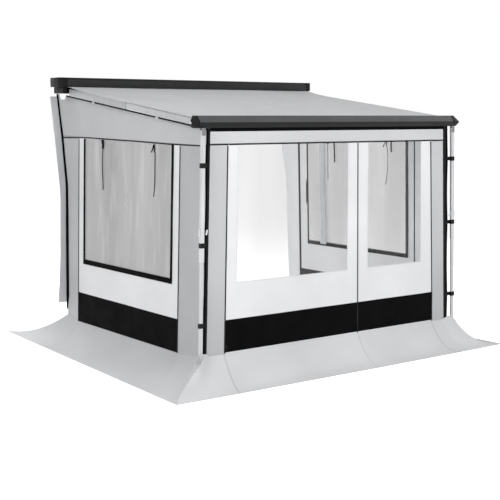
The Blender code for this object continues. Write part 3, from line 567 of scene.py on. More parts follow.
# %% Front panels
WELD, HEM, FILM = 0.008, 0.005, 0.0006
FRAME_TOP = HEAD_Z - 0.004
FRONT_PANELS = (("left", ZIP_LEFT, ZIP_MID - SEAM / 2, -1.05, 0.13),
    ("right", ZIP_MID + SEAM / 2, ZIP_RIGHT, 0.372, 1.024))
front_rows = lines(FRONT_BOTTOM, FRONT_BOTTOM + WELD, FRONT_KICK, FRONT_KICK + HEM, FRONT_SILL - WELD,
    FRONT_SILL, FRAME_TOP, HEAD_Z - SEAM)
for word, x0, x1, a, b in FRONT_PANELS:
    def front_panel_place(x, z):
        """The cloth puckers a little under the window."""
        pucker = 0.004 * math.exp(-((z - FRONT_SILL + 0.05) / 0.06) ** 2) * noise_at(x * 14, z * 9, 3.0)
        loose = wrinkle(x, z, x0, 0.004, 0.0012) + pucker
        return front_point(x, z, loose * fade(x, x0, x1) * fade(z, FRONT_BOTTOM, HEAD_Z))

    def front_panel_region(x, z):
        if z < FRONT_KICK:
            return 1 if z > FRONT_BOTTOM + WELD else 2
        beside = min(abs(x - a), abs(x - b)) < WELD and z > FRONT_SILL - WELD
        under = FRONT_SILL - WELD < z < FRONT_SILL and a - WELD < x < b + WELD
        return 2 if beside or under or z < FRONT_KICK + HEM else 0

    panel = lay_sheet("front_panel_cloth_" + word, lines(x0, a - WELD, a, b, b + WELD, x1), front_rows,
        front_panel_place, (panel_white, kick_black, seam_pale), front_panel_region,
        [(a, b, FRONT_SILL, FRAME_TOP)])
    settle(panel, "front_door_" + word, "panel_cloth", "front_door_" + word)

    def front_film_place(x, z):
        loose = wrinkle(x * 1.5, z * 0.8, a + 4, 0.004)
        return front_point(x, z, loose * fade(x, a, b, 0.05) * fade(z, FRONT_SILL, FRAME_TOP, 0.05))

    film = lay_sheet("front_window_film_" + word, lines(a, b, step=0.04),
        lines(FRONT_SILL, FRAME_TOP, step=0.04), front_film_place, (front_film,), thick=FILM)
    settle(film, "front_door_" + word, "clear_film", "front_window_" + word)
print("front panels done, windows", round(FRAME_TOP - FRONT_SILL, 3), "m high")

# %% [markdown]
# ## Side walls
# Each side wall has the same make: a gable up to the roof line, a strip at the front and one at the van, and
# between them a white panel with a kick band and a large window. The window film has a black binding on
# three sides and can be rolled up, so it hangs from its top edge on a body of its own. Behind it hangs a
# thin screen in soft folds.

# %% Pale inner face
def second_finish(piece, material, chosen):
    """Gives one more finish to the faces that chosen(face) picks."""
    piece.data.materials.append(material)
    for f in piece.data.polygons:
        if chosen(f):
            f.material_index = len(piece.data.materials) - 1


def coat_inside(piece, side):
    """The grey side cloths have a pale coating on their inner face."""
    second_finish(piece, lining_pale, lambda f: f.normal.x * side < -0.5)


print("inner face:", lining_pale.name)

# %% Gables and strips
GABLE_END = 2.40
GABLE_SEAM = 0.035
GABLE_TIP = ((KEDER_END, keder_z(KEDER_END)), (2.47, 2.342), (2.55, 2.348), (2.58, 2.40), (TIP[0], TIP[1]))
REAR_FOOT, REAR_HEAD = 0.307, 1.984
for side, word in SIDES:
    def gable_place(u, t):
        """u: 0 to 1 along the wall, 1 to 1.2 in the tip at the van. t: 0 at the header, 1 at the top edge."""
        wall, tip = min(u, 1), max(0, u - 1)
        low = SIDE_FRONT + (GABLE_END - SIDE_FRONT) * wall + (rear_y(REAR_HEAD) - GABLE_END) * tip * 5
        high = SIDE_FRONT + (KEDER_END - SIDE_FRONT) * wall + (TIP[0] - KEDER_END) * tip * 5
        top = keder_z(high) if u <= 1 else between(GABLE_TIP, high)
        bottom = head_z(low) + SEAM
        y = low + (high - low) * t
        z = bottom + (top - bottom) * t
        loose = wrinkle(y, z * 2, side * 3, 0.004) * fade(t, 0, 1, 0.3) * fade(u, 0, 1.2, 0.04)
        return side_point(side, y, z, loose)

    gable = lay_sheet("gable_cloth_" + word, lines(0, 1, 1.2, step=0.016),
        lines(0, GABLE_SEAM, 1, step=0.06), gable_place, (wall_grey, seam_grey),
        lambda u, t: 1 if t < GABLE_SEAM else 0)
    coat_inside(gable, side)
    settle(gable, "room_frame", "grey_cloth", "gable_" + word)

    def rear_strip_place(u, z):
        low = SIDE_BOTTOM + 0.083 * u
        if z > SIDE_BOTTOM + 0.09:
            z = max(z, low)
        else:
            z = low + (z - SIDE_BOTTOM) * (REAR_FOOT - low) / (REAR_FOOT - SIDE_BOTTOM)
        y = ZIP_REAR + SEAM + (rear_y(z) - ZIP_REAR - SEAM) * u
        z = min(z, head_z(y))
        return side_point(side, y, z, wrinkle(y * 3, z, side * 5, 0.006, 0.0015) * fade(u, 0, 1, 0.3))

    rear = lay_sheet("side_rear_cloth_" + word, lines(0, 1, step=0.08),
        lines(SIDE_BOTTOM, REAR_FOOT, 0.885, 1.52, 1.789, REAR_HEAD), rear_strip_place, (wall_grey,))
    coat_inside(rear, side)
    settle(rear, "room_frame", "grey_cloth", "side_rear_strip_" + word)

    def front_strip_place(u, v):
        y = SIDE_FRONT + (ZIP_FRONT - SIDE_FRONT) * u
        low = FRONT_BOTTOM + (SIDE_BOTTOM - FRONT_BOTTOM) * u
        z = low + (head_z(y) - low) * v
        loose = wrinkle(y * 2, z, side * 6, 0.006, 0.0015) * fade(u, 0, 1, 0.25) * fade(v, 0, 1, 0.05)
        return side_point(side, y, z, loose)

    strip = lay_sheet("side_front_cloth_" + word, lines(0, 1, step=0.06), lines(0, 1, step=0.016),
        front_strip_place, (strip_grey,))
    coat_inside(strip, side)
    settle(strip, "room_frame", "grey_cloth", "side_front_strip_" + word)
print("side strips done")

# %% Rows of a side panel and its window
w0, w1 = WINDOW
HINGE_ROW = 2.976
door_y = (ZIP_FRONT + SEAM, ZIP_REAR)


def row_z(y, r):
    """Row 0 is the foot, 1 the top of the kick band, 2 the sill, 3 the top of the window and 4 the header."""
    top = head_z(y)
    return between(((0, SIDE_BOTTOM), (1, SIDE_KICK), (2, SIDE_SILL), (3, top - 0.003), (4, top - SEAM)), r)


def side_panel_region(y, r):
    if r < 1:
        return 1
    beside = w0 - WELD < y < w0 or w1 < y < w1 + WELD
    return 2 if r < 1.02 or (beside and r > 2) else 0


def film_point(side, y, r, out=0.0):
    """A point of the loose window film, or one that lies out from it."""
    loose = wrinkle(y * 3, r * 0.5, side * 9, 0.006, 0.0016) * fade(y, w0, w1, 0.08) * fade(r, 2, 3, 0.15)
    return side_point(side, y, row_z(y, r), loose + out)


print("the film swings about", round(row_z(1.0, HINGE_ROW), 3), "m above the ground")

# %% Side panels with their windows
BIND_FRONT, BIND_REAR, BIND_SILL = w0 + 0.030, w1 + 0.003, 2 + 0.032 / 1.16
INSIDE_WIDE, INSIDE_SILL = 0.012, 2.02
GATHER_START, GATHER_WIDE = 1.715, 0.09
for side, word in SIDES:
    def side_panel_place(y, r):
        z = row_z(y, r)
        loose = wrinkle(y, z, side * 8, 0.004, 0.0014) * fade(y, *door_y) * fade(r, 0, 4, 0.2)
        return side_point(side, y, z, loose)

    panel = lay_sheet("side_panel_cloth_" + word, lines(door_y[0], w0 - WELD, w0, w1, w1 + WELD, door_y[1]),
        lines(0, 1, 1.02, 2, 3, 4, step=0.08), side_panel_place, (panel_white, kick_black, seam_pale),
        side_panel_region, [(w0, w1, 2, 3)])
    settle(panel, "side_door_" + word, "panel_cloth", "side_door_" + word)

    # The film swings about HINGE_ROW. A narrow band of film and binding above that row stays on the panel.
    clear = side_film if side < 0 else clear_film
    for part, body, r0, r1, tall in (("film_", "side_window_", 2.001, HINGE_ROW, 1.13),
            ("head_", "side_door_", HINGE_ROW, 2.999, 0.027)):
        film = lay_sheet("side_window_" + part + word, lines(w0 + 0.001, w1 - 0.001), lines(r0, r1),
            lambda y, r: film_point(side, y, r), (clear,), thick=FILM)
        settle(film, body + word, "clear_film", *(["side_window_" + word] if part == "film_" else []))
    for part, body, marks in (("", "side_window_", (1.955, BIND_SILL, HINGE_ROW)),
            ("head_", "side_door_", (HINGE_ROW, 2.999))):
        binding = lay_sheet("window_binding_" + part + word, lines(w0 + 0.001, BIND_FRONT, BIND_REAR,
            w1 + 0.034, step=0.05), lines(*marks, step=0.05), lambda y, r: film_point(side, y, r, 0.0034),
            (strip_black,), None, [(BIND_FRONT, BIND_REAR, BIND_SILL, 3)], thick=0.004)
        settle(binding, body + word, "black_plastic")

    inner = lay_sheet("window_frame_inside_" + word, lines(w0 - WELD, w0 + INSIDE_WIDE, w1 - INSIDE_WIDE,
        w1 + WELD, step=0.05), lines(1.97, INSIDE_SILL, 2.999, step=0.05),
        lambda y, r: side_point(side, y, row_z(y, r), -0.004), (strip_black,), None,
        [(w0 + INSIDE_WIDE, w1 - INSIDE_WIDE, INSIDE_SILL, 3)], thick=0.003)
    settle(inner, "side_door_" + word, "black_plastic")

    # The left screen is closed. The right one is gathered at the rear edge, where the front windows show it.
    gathered = side > 0
    start, end = (GATHER_START, 1.805) if gathered else (w0 - 0.02, w1 + 0.05)

    def screen_place(y, r):
        z = row_z(y, r)
        if gathered:
            pleats = math.tau * 6 * (y - GATHER_START) / GATHER_WIDE
            pleat = 0.005 * math.sin(pleats + 3 * noise_at(z * 2.2, 0, 0))
            return side_point(side, y + 0.008 * math.sin(z * 5), z, -0.022 + pleat)
        z += 0.22 * max(0.0, r - 2.9)
        sway = noise_at(y * 3.1 + z * 0.6, z * 0.9, side * 2.5) * 0.012
        sway += noise_at(y * 9, z * 3.1, 4.0) * 0.003
        return side_point(side, y, z, -0.024 + sway)

    screen = lay_sheet("window_screen_" + word, lines(start, end, step=0.001 if gathered else 0.02),
        lines(2.01, 2.99, step=0.04), screen_place, (screen_pale if gathered else curtain_grey,),
        thick=0.0008)
    settle(screen, "side_door_" + word, "grey_cloth")
print("side panels done")

# %% [markdown]
# ## Canopy
# The canopy is one sheet of coated cloth, pulled tight by the folding arms from the roller to the lead rail.
# It sags a few millimetres under its own weight and its side edges carry a folded hem.

# %% Canopy cloth
ROOF_HALF = 1.45
ROOF_FRONT, ROOF_REAR = 0.053, 2.29
HEM_IN, HEM_OUT = 0.031, 0.028
ROOF_LIFT = ((0.0, 0.0), (1.85, 0.0), (2.0, 0.3), (2.17, 1.0), (ROOF_REAR, 0.0))


def canopy_place(x, y):
    share = (y - ROOF_FRONT) / (ROOF_REAR - ROOF_FRONT)
    width = 1.0 if y < 2.215 else 1 - 0.02 * (y - 2.215) / 0.075
    sag = -0.012 * math.sin(math.pi * share) * (1 - (x / ROOF_HALF) ** 6)
    wave = noise_at(x * 1.6, y * 1.1, 2.0) * 0.004 * fade(share, 0, 1, 0.1)
    hem = 0.0008 if abs(x) > ROOF_HALF - 0.03 else 0
    lift = 0.020 * between(ROOF_LIFT, y)
    return Vector((x * width, FRONT_Y + y, roof_z(y) - 0.001 + sag + wave + hem + lift))


roof_lines = lines(-ROOF_HALF, HEM_IN - ROOF_HALF, HEM_OUT - ROOF_HALF, ROOF_HALF - HEM_IN,
    ROOF_HALF - HEM_OUT, ROOF_HALF, step=0.04)
canopy = lay_sheet("canopy_cloth", roof_lines, lines(ROOF_FRONT, ROOF_REAR, step=0.035), canopy_place,
    (canopy_grey,))
settle(canopy, "room_frame", "roof_cloth", "roof_canopy")
print("canopy", 2 * ROOF_HALF, "m wide")

# %% [markdown]
# ## Mud skirts
# Below each wall a skirt flares out to the ground and is pegged flat there. It leaves the wall straight down
# and ends almost flat, and at each front corner two skirts meet in a mitre. The height of the cloth is a
# power of how far out it is. A power well above 1 gives the long curve, and one below 1 gives the left mitre
# its sharp ridge.

# %% Tables of the skirts' edges
# A row has its share of the length, and then x, y and z at the wall, or x and y at the hem, or the power.
TIP_X = HALF_W + 0.5144
TOP_Z = FRONT_BOTTOM - 0.0004
SIDE_TOP_Z = SIDE_BOTTOM - 0.0004
CORNER = {-1: (HALF_W + 0.1194, 0.212), 1: (HALF_W + 0.1494, 0.229)}
FRONT_TOP = ((0.0, -CORNER[-1][0], -0.047, CORNER[-1][1]), (0.012, -HALF_W - 0.0834, -0.047, STRIP_BOTTOM),
    (0.021, -HALF_W - 0.05, -0.034, 0.284), (0.033, -HALF_W - 0.0114, -0.006, 0.256),
    (0.045, 0.0206 - HALF_W, 0.0, TOP_Z), (0.083, -1.205, 0.0, TOP_Z), (0.597, 0.2715, 0.0, TOP_Z),
    (0.926, 1.209, 0.0, TOP_Z), (0.955, HALF_W - 0.0206, 0.0, TOP_Z),
    (0.967, HALF_W + 0.0114, -0.006, 0.256), (0.979, HALF_W + 0.05, -0.034, 0.284),
    (0.988, HALF_W + 0.084, -0.047, 0.284), (1.0, CORNER[1][0], -0.047, CORNER[1][1]))
FRONT_HEM = ((0.0, -TIP_X, -0.312), (0.083, 0.597 - TIP_X, -0.322), (0.597, 0.265, -0.33),
    (0.926, TIP_X - 0.605, -0.322), (1.0, TIP_X, -0.312))
FRONT_POWER = ((0.0, 0.75), (0.012, 1.3), (0.033, 1.45), (0.083, 1.72), (0.16, 2.6), (0.926, 2.7),
    (0.967, 3.0), (0.988, 3.3), (1.0, 2.7))
SIDE_HEM = ((0.0, TIP_X, -0.312), (0.167, TIP_X - 0.0214, 0.158), (0.905, TIP_X - 0.1134, 2.18),
    (1.0, TIP_X - 0.163, 3.165))
SIDE_POWER = {-1: ((0.0, 0.75), (0.012, 1.0), (0.026, 1.4), (0.083, 2.2), (0.16, 2.6), (0.905, 2.9),
    (1.0, 2.1)), 1: ((0.0, 2.7), (0.026, 3.0), (0.083, 2.8), (0.16, 2.6), (0.905, 2.9), (1.0, 2.1))}
print("hem from tip to tip:", round(2 * TIP_X, 3), "m")


# %% Skirt surfaces
def along(table, u):
    """The values of a table of (share, value, value, ...) rows at this share of the length."""
    return [between([(row[0], row[k]) for row in table], u) for k in range(1, len(table[0]))]


def skirt_point(top, hem, v, power, drop, share, seed):
    """v counts rows from the wall: 0 to 1 is the short drop, then 1 to 2 runs out to the hem."""
    out = max(0.0, v - 1) ** 1.4
    flat = Vector(top).lerp(Vector((*hem, 0)), out)
    z = (top[2] - drop * min(1.0, v)) * (1 - out) ** power
    wave = noise_at(flat.x * 1.9, flat.y * 1.9, seed) * 0.006 * math.sin(math.pi * min(1, out)) * share
    return Vector((flat.x, flat.y + FRONT_Y, z + 0.001 + max(-z, wave)))


def upright(u):
    """At the left corner the skirts wrap the foot of the leg with an upright band."""
    return between(((0.0, 1.0), (0.012, 0.0), (1.0, 0.0)), u) * 0.086


def front_skirt_place(u, v):
    x, y, z = along(FRONT_TOP, u)
    return skirt_point((x, y, z + upright(u)), along(FRONT_HEM, u), v, along(FRONT_POWER, u)[0],
        0.008 + upright(u), min(1.0, 8 * min(u, 1 - u)), 1.0)


def side_top(side):
    corner_x, corner_z = CORNER[side]
    out = corner_x + 0.0015 - side_x(corner_z)
    return ((0.0, out, -0.0455, corner_z), (0.012, out, 0.012, corner_z + 0.002),
        (0.026, 0.0, 0.067, 0.2482), (0.167, 0.0, ZIP_FRONT, SIDE_TOP_Z), (0.905, 0.0, ZIP_REAR, SIDE_TOP_Z),
        (1.0, 0.0, 2.382, 0.2995))


def side_skirt_place(u, v, side):
    out, y, z = along(side_top(side), u)
    hem = along(SIDE_HEM, u)
    rise = upright(u) if side < 0 else 0.0
    drop = 0.008 + 0.037 * max(0.0, (u - 0.905) / 0.095) + rise
    return skirt_point((side * (side_x(z) + out), y, z + rise), (side * (hem[0] + 0.0015), hem[1] + 0.0015),
        v, along(SIDE_POWER[side], u)[0], drop, min(1.0, 7 * u), side * 4.0)


print("the front skirt leaves the wall at", round(along(FRONT_TOP, 0.5)[2], 4), "m")


# %% Make the skirts
def near_seam(marks, u):
    return 1 if any(abs(u - m) < 0.0011 for m in marks) else 0


def seam_lines(marks, step, table):
    spots = {0.0, 1.0} | {row[0] for row in table}
    for m in marks:
        spots |= {m - 0.0012, m + 0.0012}
    return lines(*sorted(spots), step=step)


skirt_rows = lines(0, 1, step=1.0) + lines(1, 2, step=0.04)[1:]
front_marks, side_marks = (0.083, 0.597, 0.926), (0.167, 0.905)
skirts = [lay_sheet("skirt_cloth_front", seam_lines(front_marks, 0.012, FRONT_TOP), skirt_rows,
    front_skirt_place, (skirt_front, skirt_seam), lambda u, v: near_seam(front_marks, u))]
settle(skirts[0], "room_frame", "pale_cloth", "skirt_front")
for side, word in SIDES:
    made = lay_sheet("skirt_cloth_" + word, seam_lines(side_marks, 0.014, side_top(side)), skirt_rows,
        lambda u, v: side_skirt_place(u, v, side), (skirt_side, skirt_seam),
        lambda u, v: near_seam(side_marks, u))
    settle(made, "room_frame", "grey_cloth", "skirt_" + word)
    skirts.append(made)
print("skirts:", [s.name for s in skirts])

# %% [markdown]
# ## Draught flaps and the black seal
# At the van, a loose flap turns outwards behind the wall's rear edge and lies against the van, and a black
# seal runs in front of it. The seal is narrow at the top, grows towards the ground and ends in a rounded
# tip.

# %% Flaps and seals
SEAL_WIDTH = ((0.305, 0.004), (0.33, 0.018), (0.45, 0.05), (1.2, 0.048), (1.8, 0.034), (2.40, 0.024))
SEAL_START = ((0.305, 0.0), (0.45, 0.028), (1.3, 0.028), (2.0, 0.010), (2.40, 0.004))
for side, word in SIDES:
    def flap_place(u, z):
        loose = noise_at(u * 1.5, z * 2.3, side * 6.0) * 0.006 * u
        return side_point(side, rear_y(z) + SEAM + 0.001 + abs(loose), z,
            (between(FLAP_WIDTH, z) + 0.001) * u)

    flap = lay_sheet("draught_flap_cloth_" + word, lines(0, 1, step=0.1), lines(0.376, 2.375), flap_place,
        (flap_grey,))
    settle(flap, "room_frame", "pale_cloth", "draught_flap_" + word)

    def seal_place(u, z):
        y = -between(SEAL_START, z) + between(SEAL_WIDTH, z) * u
        round_out = 0.004 + 0.009 * math.sin(math.pi * u)
        return side_point(side, rear_y(z) + min(y, 0.0) - 0.002, z, round_out + max(y, 0.0) / 1.6)

    seal = lay_sheet("draught_seal_" + word, lines(0, 1, step=0.1), lines(0.305, 0.33, 0.45, 2.40),
        seal_place, (strip_black,), thick=0.003)
    settle(seal, "room_frame", "black_plastic")
print("flaps and seals done")

# %% [markdown]
# ## Zips
# Every panel is held by coil zips. A zip is a strip of tape with a round coil along it, so it is a narrow
# sheet whose middle stands up. It lies wholly on one side of its seam, so that a panel can swing away
# without crossing it.

# %% Zip strips
COIL = (0.0, 0.0006, 0.0024, 0.0030, 0.0024, 0.0006, 0.0)
FRONT_ZIP, SIDE_ZIP, HEADER_ZIP = 0.012, 0.014, 0.011
STOP = 0.012
HEADER_LINE = ((0.0, 1.950), (0.12, 1.950), (0.55, 1.953), (1.1, 1.967), (1.67, 1.977), (2.03, 1.983),
    (2.5, 1.976))


def zip_strip(name, place, start, end, body, width, flip=1, faces=(1, -1), inner=0.0):
    """place(a, b, out) is the wall, and the zip runs along b from start to end with its width along a."""
    for out in faces:
        wide = inner if inner and out < 0 else width

        def zip_place(a, b):
            return place(a, b, out * (COIL[round(6 * abs(a) / wide)] + 0.0014))

        made = lay_sheet(name if out > 0 else name + "_inside", [flip * wide * k / 6 for k in range(7)],
            lines(start, end, step=0.06), zip_place, (zip_black,))
        settle(made, body, "black_plastic")


for name, x, body, flip in (("left", ZIP_LEFT, "room_frame", -1), ("middle", ZIP_MID, "front_door_left", -1),
        ("right", ZIP_RIGHT, "room_frame", 1)):
    zip_strip("front_zip_" + name, lambda a, b, out: front_point(x + a, b, out), FRONT_BOTTOM, HEAD_Z - STOP,
        body, FRONT_ZIP, flip)
for name, x0, x1, body in (("corner_left", -EDGE_IN, ZIP_LEFT, "room_frame"),
        ("left", ZIP_LEFT + 0.005, ZIP_MID, "front_door_left"),
        ("right", ZIP_MID, ZIP_RIGHT - 0.005, "front_door_right"),
        ("corner_right", ZIP_RIGHT, EDGE_IN, "room_frame")):
    zip_strip("header_zip_front_" + name, lambda a, b, out: front_point(b, HEAD_Z + 0.004 + a, out), x0, x1,
        body, HEADER_ZIP, -1, (1,))
for side, word in SIDES:
    for name, y, body, inner in (("front", ZIP_FRONT, "side_door_" + word, 0.0),
            ("rear", ZIP_REAR, "room_frame", 0.032)):
        zip_strip("side_zip_" + name + "_" + word, lambda a, b, out: side_point(side, y + a, b, out),
            SIDE_BOTTOM, head_z(y) - STOP, body, SIDE_ZIP, inner=inner)
    for name, y0, y1, body in (("front_", SIDE_FRONT, ZIP_FRONT, "room_frame"),
            ("", ZIP_FRONT, ZIP_REAR, "side_door_" + word), ("rear_", ZIP_REAR, 2.49, "room_frame")):
        zip_strip("header_zip_" + name + word, lambda a, b, out: side_point(side, b,
            between(HEADER_LINE, b) + 0.006 + a, out), y0, y1, body, HEADER_ZIP, -1, (1,))
    zip_strip("gable_bead_" + word, lambda a, b, out: side_point(side, b, keder_z(b) - 0.014 + a, out),
        SIDE_FRONT, KEDER_END, "room_frame", SIDE_ZIP, 1, (1,))
print("front zips:", named("front_zip"))


# %% Small boxes with rounded edges
def put_cube(name, place, scale, rotation=(0, 0, 0)):
    bpy.ops.object.select_all(action="DESELECT")
    bpy.ops.mesh.primitive_cube_add(size=1, location=place, rotation=rotation, scale=scale)
    piece = bpy.context.object
    piece.name = piece.data.name = name
    bpy.ops.object.transform_apply()
    return piece


def round_edges(piece, width, segments, material, slot):
    """Rounds the edges of a small piece, and ties it to the room's frame."""
    edge = piece.modifiers.new("edge", "BEVEL")
    edge.width = width
    edge.segments = segments
    apply_all(piece)
    piece.data.materials.append(material)
    settle(piece, "room_frame", slot)


# Two small white clips sit on the bead at the top of each gable.
for side, word in SIDES:
    for number, y in enumerate((1.88, 0.765)):
        hook = put_cube("bead_clip_%s_%d" % (word, number), side_point(side, y, keder_z(y) - 0.007, 0.005),
            (0.006, 0.036, 0.024), (math.radians(7), 0, 0))
        round_edges(hook, 0.002, 3, white_plastic, "pale_cloth")
print("bead clips:", named("bead_clip"))

# %% [markdown]
# ## Edge strips and leg clips
# A black strip runs down each front corner, and three clips on it hold the awning's leg. Between the clips
# the cloth bows in a little. A clip is a band bent round the tube, so it starts as a cube without its two
# ends, and a flat tongue joins it to the strip.

# %% Edge strips
CLIP_Z = {-1: (1.798, 1.163, 0.517), 1: (1.788, 1.188, 0.495)}
LEG = {-1: (1.4115, 0.0202), 1: (1.4203, 0.0306)}


def leg_x(side, z):
    head, lean = LEG[side]
    return head + lean * (2.0 - z)


for side, word in SIDES:
    # The right strip is wider than the left one, and stands a little further out.
    right = side > 0

    def strip_place(u, z):
        gap = min(abs(z - c) for c in CLIP_Z[side])
        bow = 0.007 * (1 - math.exp(-(gap / 0.16) ** 2)) * u
        inner = 0.019 + (0.013 * (z - 0.25) / 1.8 if right else 0)
        x = HALF_W - inner + (0.024 + inner - bow + (0.006 if right else 0)) * u
        return front_point(side * x, z, (0.0022 if right else 0.0004) + 0.0012 * math.sin(math.pi * u))

    strip = lay_sheet("edge_strip_cloth_" + word, lines(0, 1, step=0.17),
        lines(0.250, VALANCE_TOP, step=0.025), strip_place, (strip_black, strip_soft),
        lambda u, z: 1 if u < 0.5 else 0, thick=0.002)
    settle(strip, "room_frame", "black_plastic", "edge_strip_" + word)
    for number, z in enumerate(CLIP_Z[side]):
        clip = put_cube("leg_clip_%s_%d" % (word, number), (side * leg_x(side, z), FRONT_Y - 0.016, z),
            (0.0372, 0.0232, 0.04), (0, -side * math.atan(LEG[side][1]), 0))
        choose_faces(clip, [f.index for f in clip.data.polygons if abs(f.normal.z) > 0.9])
        bpy.ops.mesh.delete(type="ONLY_FACE")
        bpy.ops.object.mode_set(mode="OBJECT")
        wall = clip.modifiers.new("wall", "SOLIDIFY")
        wall.thickness = 0.0026
        wall.offset = 1
        round_edges(clip, 0.0009, 2, clip_black, "black_plastic")
        tongue_in, tongue_out = spread(HALF_W + 0.021, z) - 0.014, leg_x(side, z) - 0.0195
        tongue = put_cube("clip_tongue_%s_%d" % (word, number),
            (side * (tongue_in + tongue_out) / 2, FRONT_Y - 0.001, z),
            (tongue_out - tongue_in, 0.006, 0.034))
        round_edges(tongue, 0.0015, 2, clip_black, "black_plastic")
print("clips:", named("leg_clip"))

# %% [markdown]
# ## Window ties
# Two ties hang from the top of each side window, ready to hold the film when it is rolled up. Each is a
# doubled piece of webbing above and a thin cord below, which hangs nearly straight with a slight curl at its
# end. The webbing is split where the film swings, so its top stays on the panel.

# %% Ties
# For each tie: which end of the window, y, the heights of its top, of its knot and of its end, and its curl.
TIES = (("rear", 1.695, 1.970, 1.889, 1.51, 0.0), ("front", 0.80, 1.948, 1.878, 1.50, 0.074))
CORD_POINTS = 24
CORD_THICK = 0.007
for side, word in SIDES:
    for end, y, top, knot, low, drift in TIES:
        def web_place(a, z):
            t = (top - z) / (top - knot)
            along_wall = y + a * (1 - 0.3 * t) + 0.003 * math.sin(9 * t) + slope * t
            return side_point(side, along_wall, z, 0.0060 + 0.002 * math.sin(7 * t))

        half = 0.021 if end == "rear" else 0.009
        split = head_z(y) - 0.031
        for number, slope in enumerate((0.0,) if end == "rear" else (-0.002, 0.048)):
            for part, body, z0, z1 in (("low", "side_window_", knot, split),
                    ("top", "side_door_", split, top)):
                web = lay_sheet("tie_webbing_%s_%s_%d_%s" % (word, end, number, part),
                    [half * k / 2 for k in range(-2, 3)], lines(z0, z1, step=0.012), web_place,
                    (strip_black,), thick=0.002)
                settle(web, body + word, "black_plastic")
        path = bpy.data.curves.new("tie_cord_%s_%s" % (word, end), "CURVE")
        path.dimensions = "3D"
        path.bevel_depth = CORD_THICK / 2
        path.bevel_resolution = 3
        spline = path.splines.new("POLY")
        spline.points.add(CORD_POINTS - 1)
        for k in range(CORD_POINTS):
            t = k / (CORD_POINTS - 1)
            z = knot + 0.002 + (low - knot) * t
            along_wall = y + drift * (t * t - 0.68 * t - 0.16) + 0.004 * math.sin(4 * t)
            spot = side_point(side, along_wall, z, 0.005 + 0.003 * math.sin(5 * t))
            spline.points[k].co = (*spot, 1)
        cord = bpy.data.objects.new(path.name, path)
        bpy.context.scene.collection.objects.link(cord)
        path.materials.append(strip_black)
        settle(cord, "side_window_" + word, "black_plastic", "window_tie_%s_%s" % (word, end))

# %% Screen ties and white tabs
for side, word in SIDES:
    for end, y, low in (("rear", 1.567, 1.70), ("front", 0.709, 1.83)):
        def screen_tie_place(a, z):
            return side_point(side, y + a + 0.003 * math.sin(11 * z), z, -0.014 - 0.002 * math.sin(17 * z))

        screen_tie = lay_sheet("screen_tie_%s_%s" % (word, end), [-0.009, -0.0045, 0.0, 0.0045, 0.009],
            lines(low, 1.945, step=0.02), screen_tie_place, (strip_black,), thick=0.002)
        settle(screen_tie, "side_door_" + word, "black_plastic")
# A small white tab stands beside the clamp lever of each leg, on the left strip and against the right leg.
for word, x in (("left", -1.372), ("right", 1.419)):
    tab = put_cube("strip_tab_" + word, (x, FRONT_Y - 0.0045, 1.265), (0.015, 0.003, 0.042),
        (0, math.radians(14), 0))
    round_edges(tab, 0.0012, 3, white_plastic, "panel_cloth")
print("screen ties:", named("screen_tie"))

# %% [markdown]
# ## Metal and plastic parts
# The solids of the metal parts are right, but every edge on them is perfectly sharp, and light never catches
# a sharp edge. So each one is copied, its loose triangles are merged, flat faces are joined, and a Bevel
# modifier rounds the edges by about a millimetre. The copy then stands for the solid.

# %% Soften the hard parts
def soften(name, material, slot, width):
    source = frame["nodes"][name]
    piece = bpy.data.objects.new("dressed_" + name, source.data.copy())
    bpy.context.scene.collection.objects.link(piece)
    choose_faces(piece, range(len(piece.data.polygons)))
    bpy.ops.mesh.remove_doubles(threshold=0.00001)
    bpy.ops.mesh.dissolve_limited(angle_limit=math.radians(1.0))
    bpy.ops.object.mode_set(mode="OBJECT")
    edge = piece.modifiers.new("edge", "BEVEL")
    edge.width = width
    edge.segments = 2
    edge.limit_method = "ANGLE"
    edge.angle_limit = math.radians(35)
    apply_all(piece)
    bpy.ops.object.shade_smooth_by_angle(angle=math.radians(40))
    piece.data.materials.clear()
    piece.data.materials.append(material)
    for key in list(piece.keys()):
        del piece[key]
    return settle(piece, source["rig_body"], slot, name)


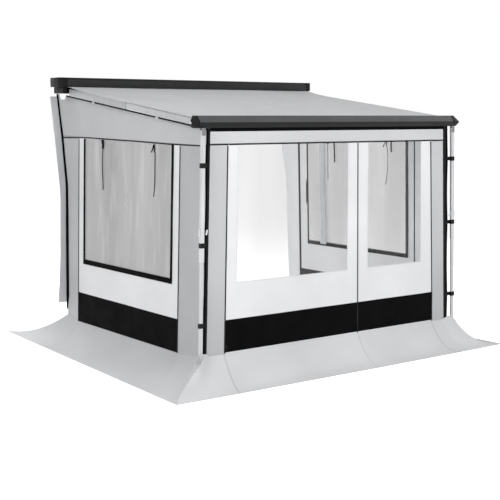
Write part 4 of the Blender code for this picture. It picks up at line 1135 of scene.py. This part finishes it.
HARD = [("cassette_housing", anthracite, "graphite", 0.002), ("lead_rail", rail_grey, "graphite", 0.0015),
    ("roller_tube", anodised, "alloy", 0.001), ("winch_eye", anodised, "alloy", 0.0006)]
PAIRS = (("cassette_cap_", cap_black, "cap_graphite", 0.003),
    ("lead_rail_cap_", cap_black, "cap_graphite", 0.0025), ("wall_bracket_", cap_black, "cap_graphite",
    0.0015), ("rafter_rear_", rafter_metal, "rafter_metal", 0.002),
    ("rafter_front_", rafter_pale, "rafter_white", 0.002), ("arm_shoulder_", clip_black, "black_plastic",
    0.002), ("arm_upper_", anodised, "alloy", 0.003), ("arm_fore_", anodised, "alloy", 0.003),
    ("leg_yoke_", cast_grey, "alloy", 0.001), ("leg_outer_", anodised, "alloy", 0.003),
    ("leg_inner_", anodised, "alloy", 0.002), ("leg_lever_", anodised, "alloy", 0.0015))
HARD += [(name + word, *rest) for side, word in SIDES for name, *rest in PAIRS]
HARD += [("zip_slider_" + word, zip_black, "slider_black", 0.001) for word in ("left", "middle", "right")]
dressed = {name: soften(name, *rest) for name, *rest in HARD}
print("softened:", len(dressed))

# %% [markdown]
# ## Small corrections of form
# A few solids are a little plainer than the real piece. The copies can be moved point by point: the lid of
# the cassette rises slightly, the rail's end caps are drawn out, and the castings above the legs are made
# narrower.

# %% Reshape and finish some copies
CAP_RING = 1.4353
CAP_STRETCH = ((CAP_RING, 0.0), (1.4473, 0.028), (1.5023, 0.014))
YOKE_NARROW = 0.74
LID_Z, LID_RISE = 2.4577, 0.13
for word in ("housing", "cap_left", "cap_right"):
    for v in dressed["cassette_" + word].data.vertices:
        v.co.z += LID_RISE * max(0.0, v.co.z - LID_Z)
second_finish(dressed["cassette_housing"], cap_black, lambda f: f.normal.z > 0.3)
# Painted shade: the rail's faces that look down or to the front get the darker copy of its coat.
second_finish(dressed["lead_rail"], rail_painted_shade,
    lambda f: f.normal.y < -0.1 and f.normal.z < 0.3 or f.normal.z < -0.5)
for side, word in SIDES:
    cap = dressed["lead_rail_cap_" + word]
    # Painted highlight: the outer end faces of each rail cap get the bright metal finish.
    second_finish(cap, anodised, lambda f: abs(f.normal.x) > 0.7 and abs(f.center.x) > 1.45)
    for v in cap.data.vertices:
        v.co.x += math.copysign(between(CAP_STRETCH, max(CAP_RING, abs(v.co.x))), v.co.x)
    yoke = dressed["leg_yoke_" + word]
    centre = sum(v.co.x for v in yoke.data.vertices) / len(yoke.data.vertices)
    for v in yoke.data.vertices:
        v.co.x = centre + YOKE_NARROW * (v.co.x - centre)
print("reshaped: cassette, rail caps and leg yokes")

# %% [markdown]
# ## Last settings
# The view transform is set to Standard, and the imported nodes that are still shown are printed.
# The dressed part has to stay in the box of the imported one, give or take a little loose cloth.

# %% Set the view and list the nodes still shown
bpy.context.scene.view_settings.view_transform = "Standard"
shown = [o for o in frame["nodes"].values() if not o.hide_render]
print("nodes still shown:", [o.name for o in shown])
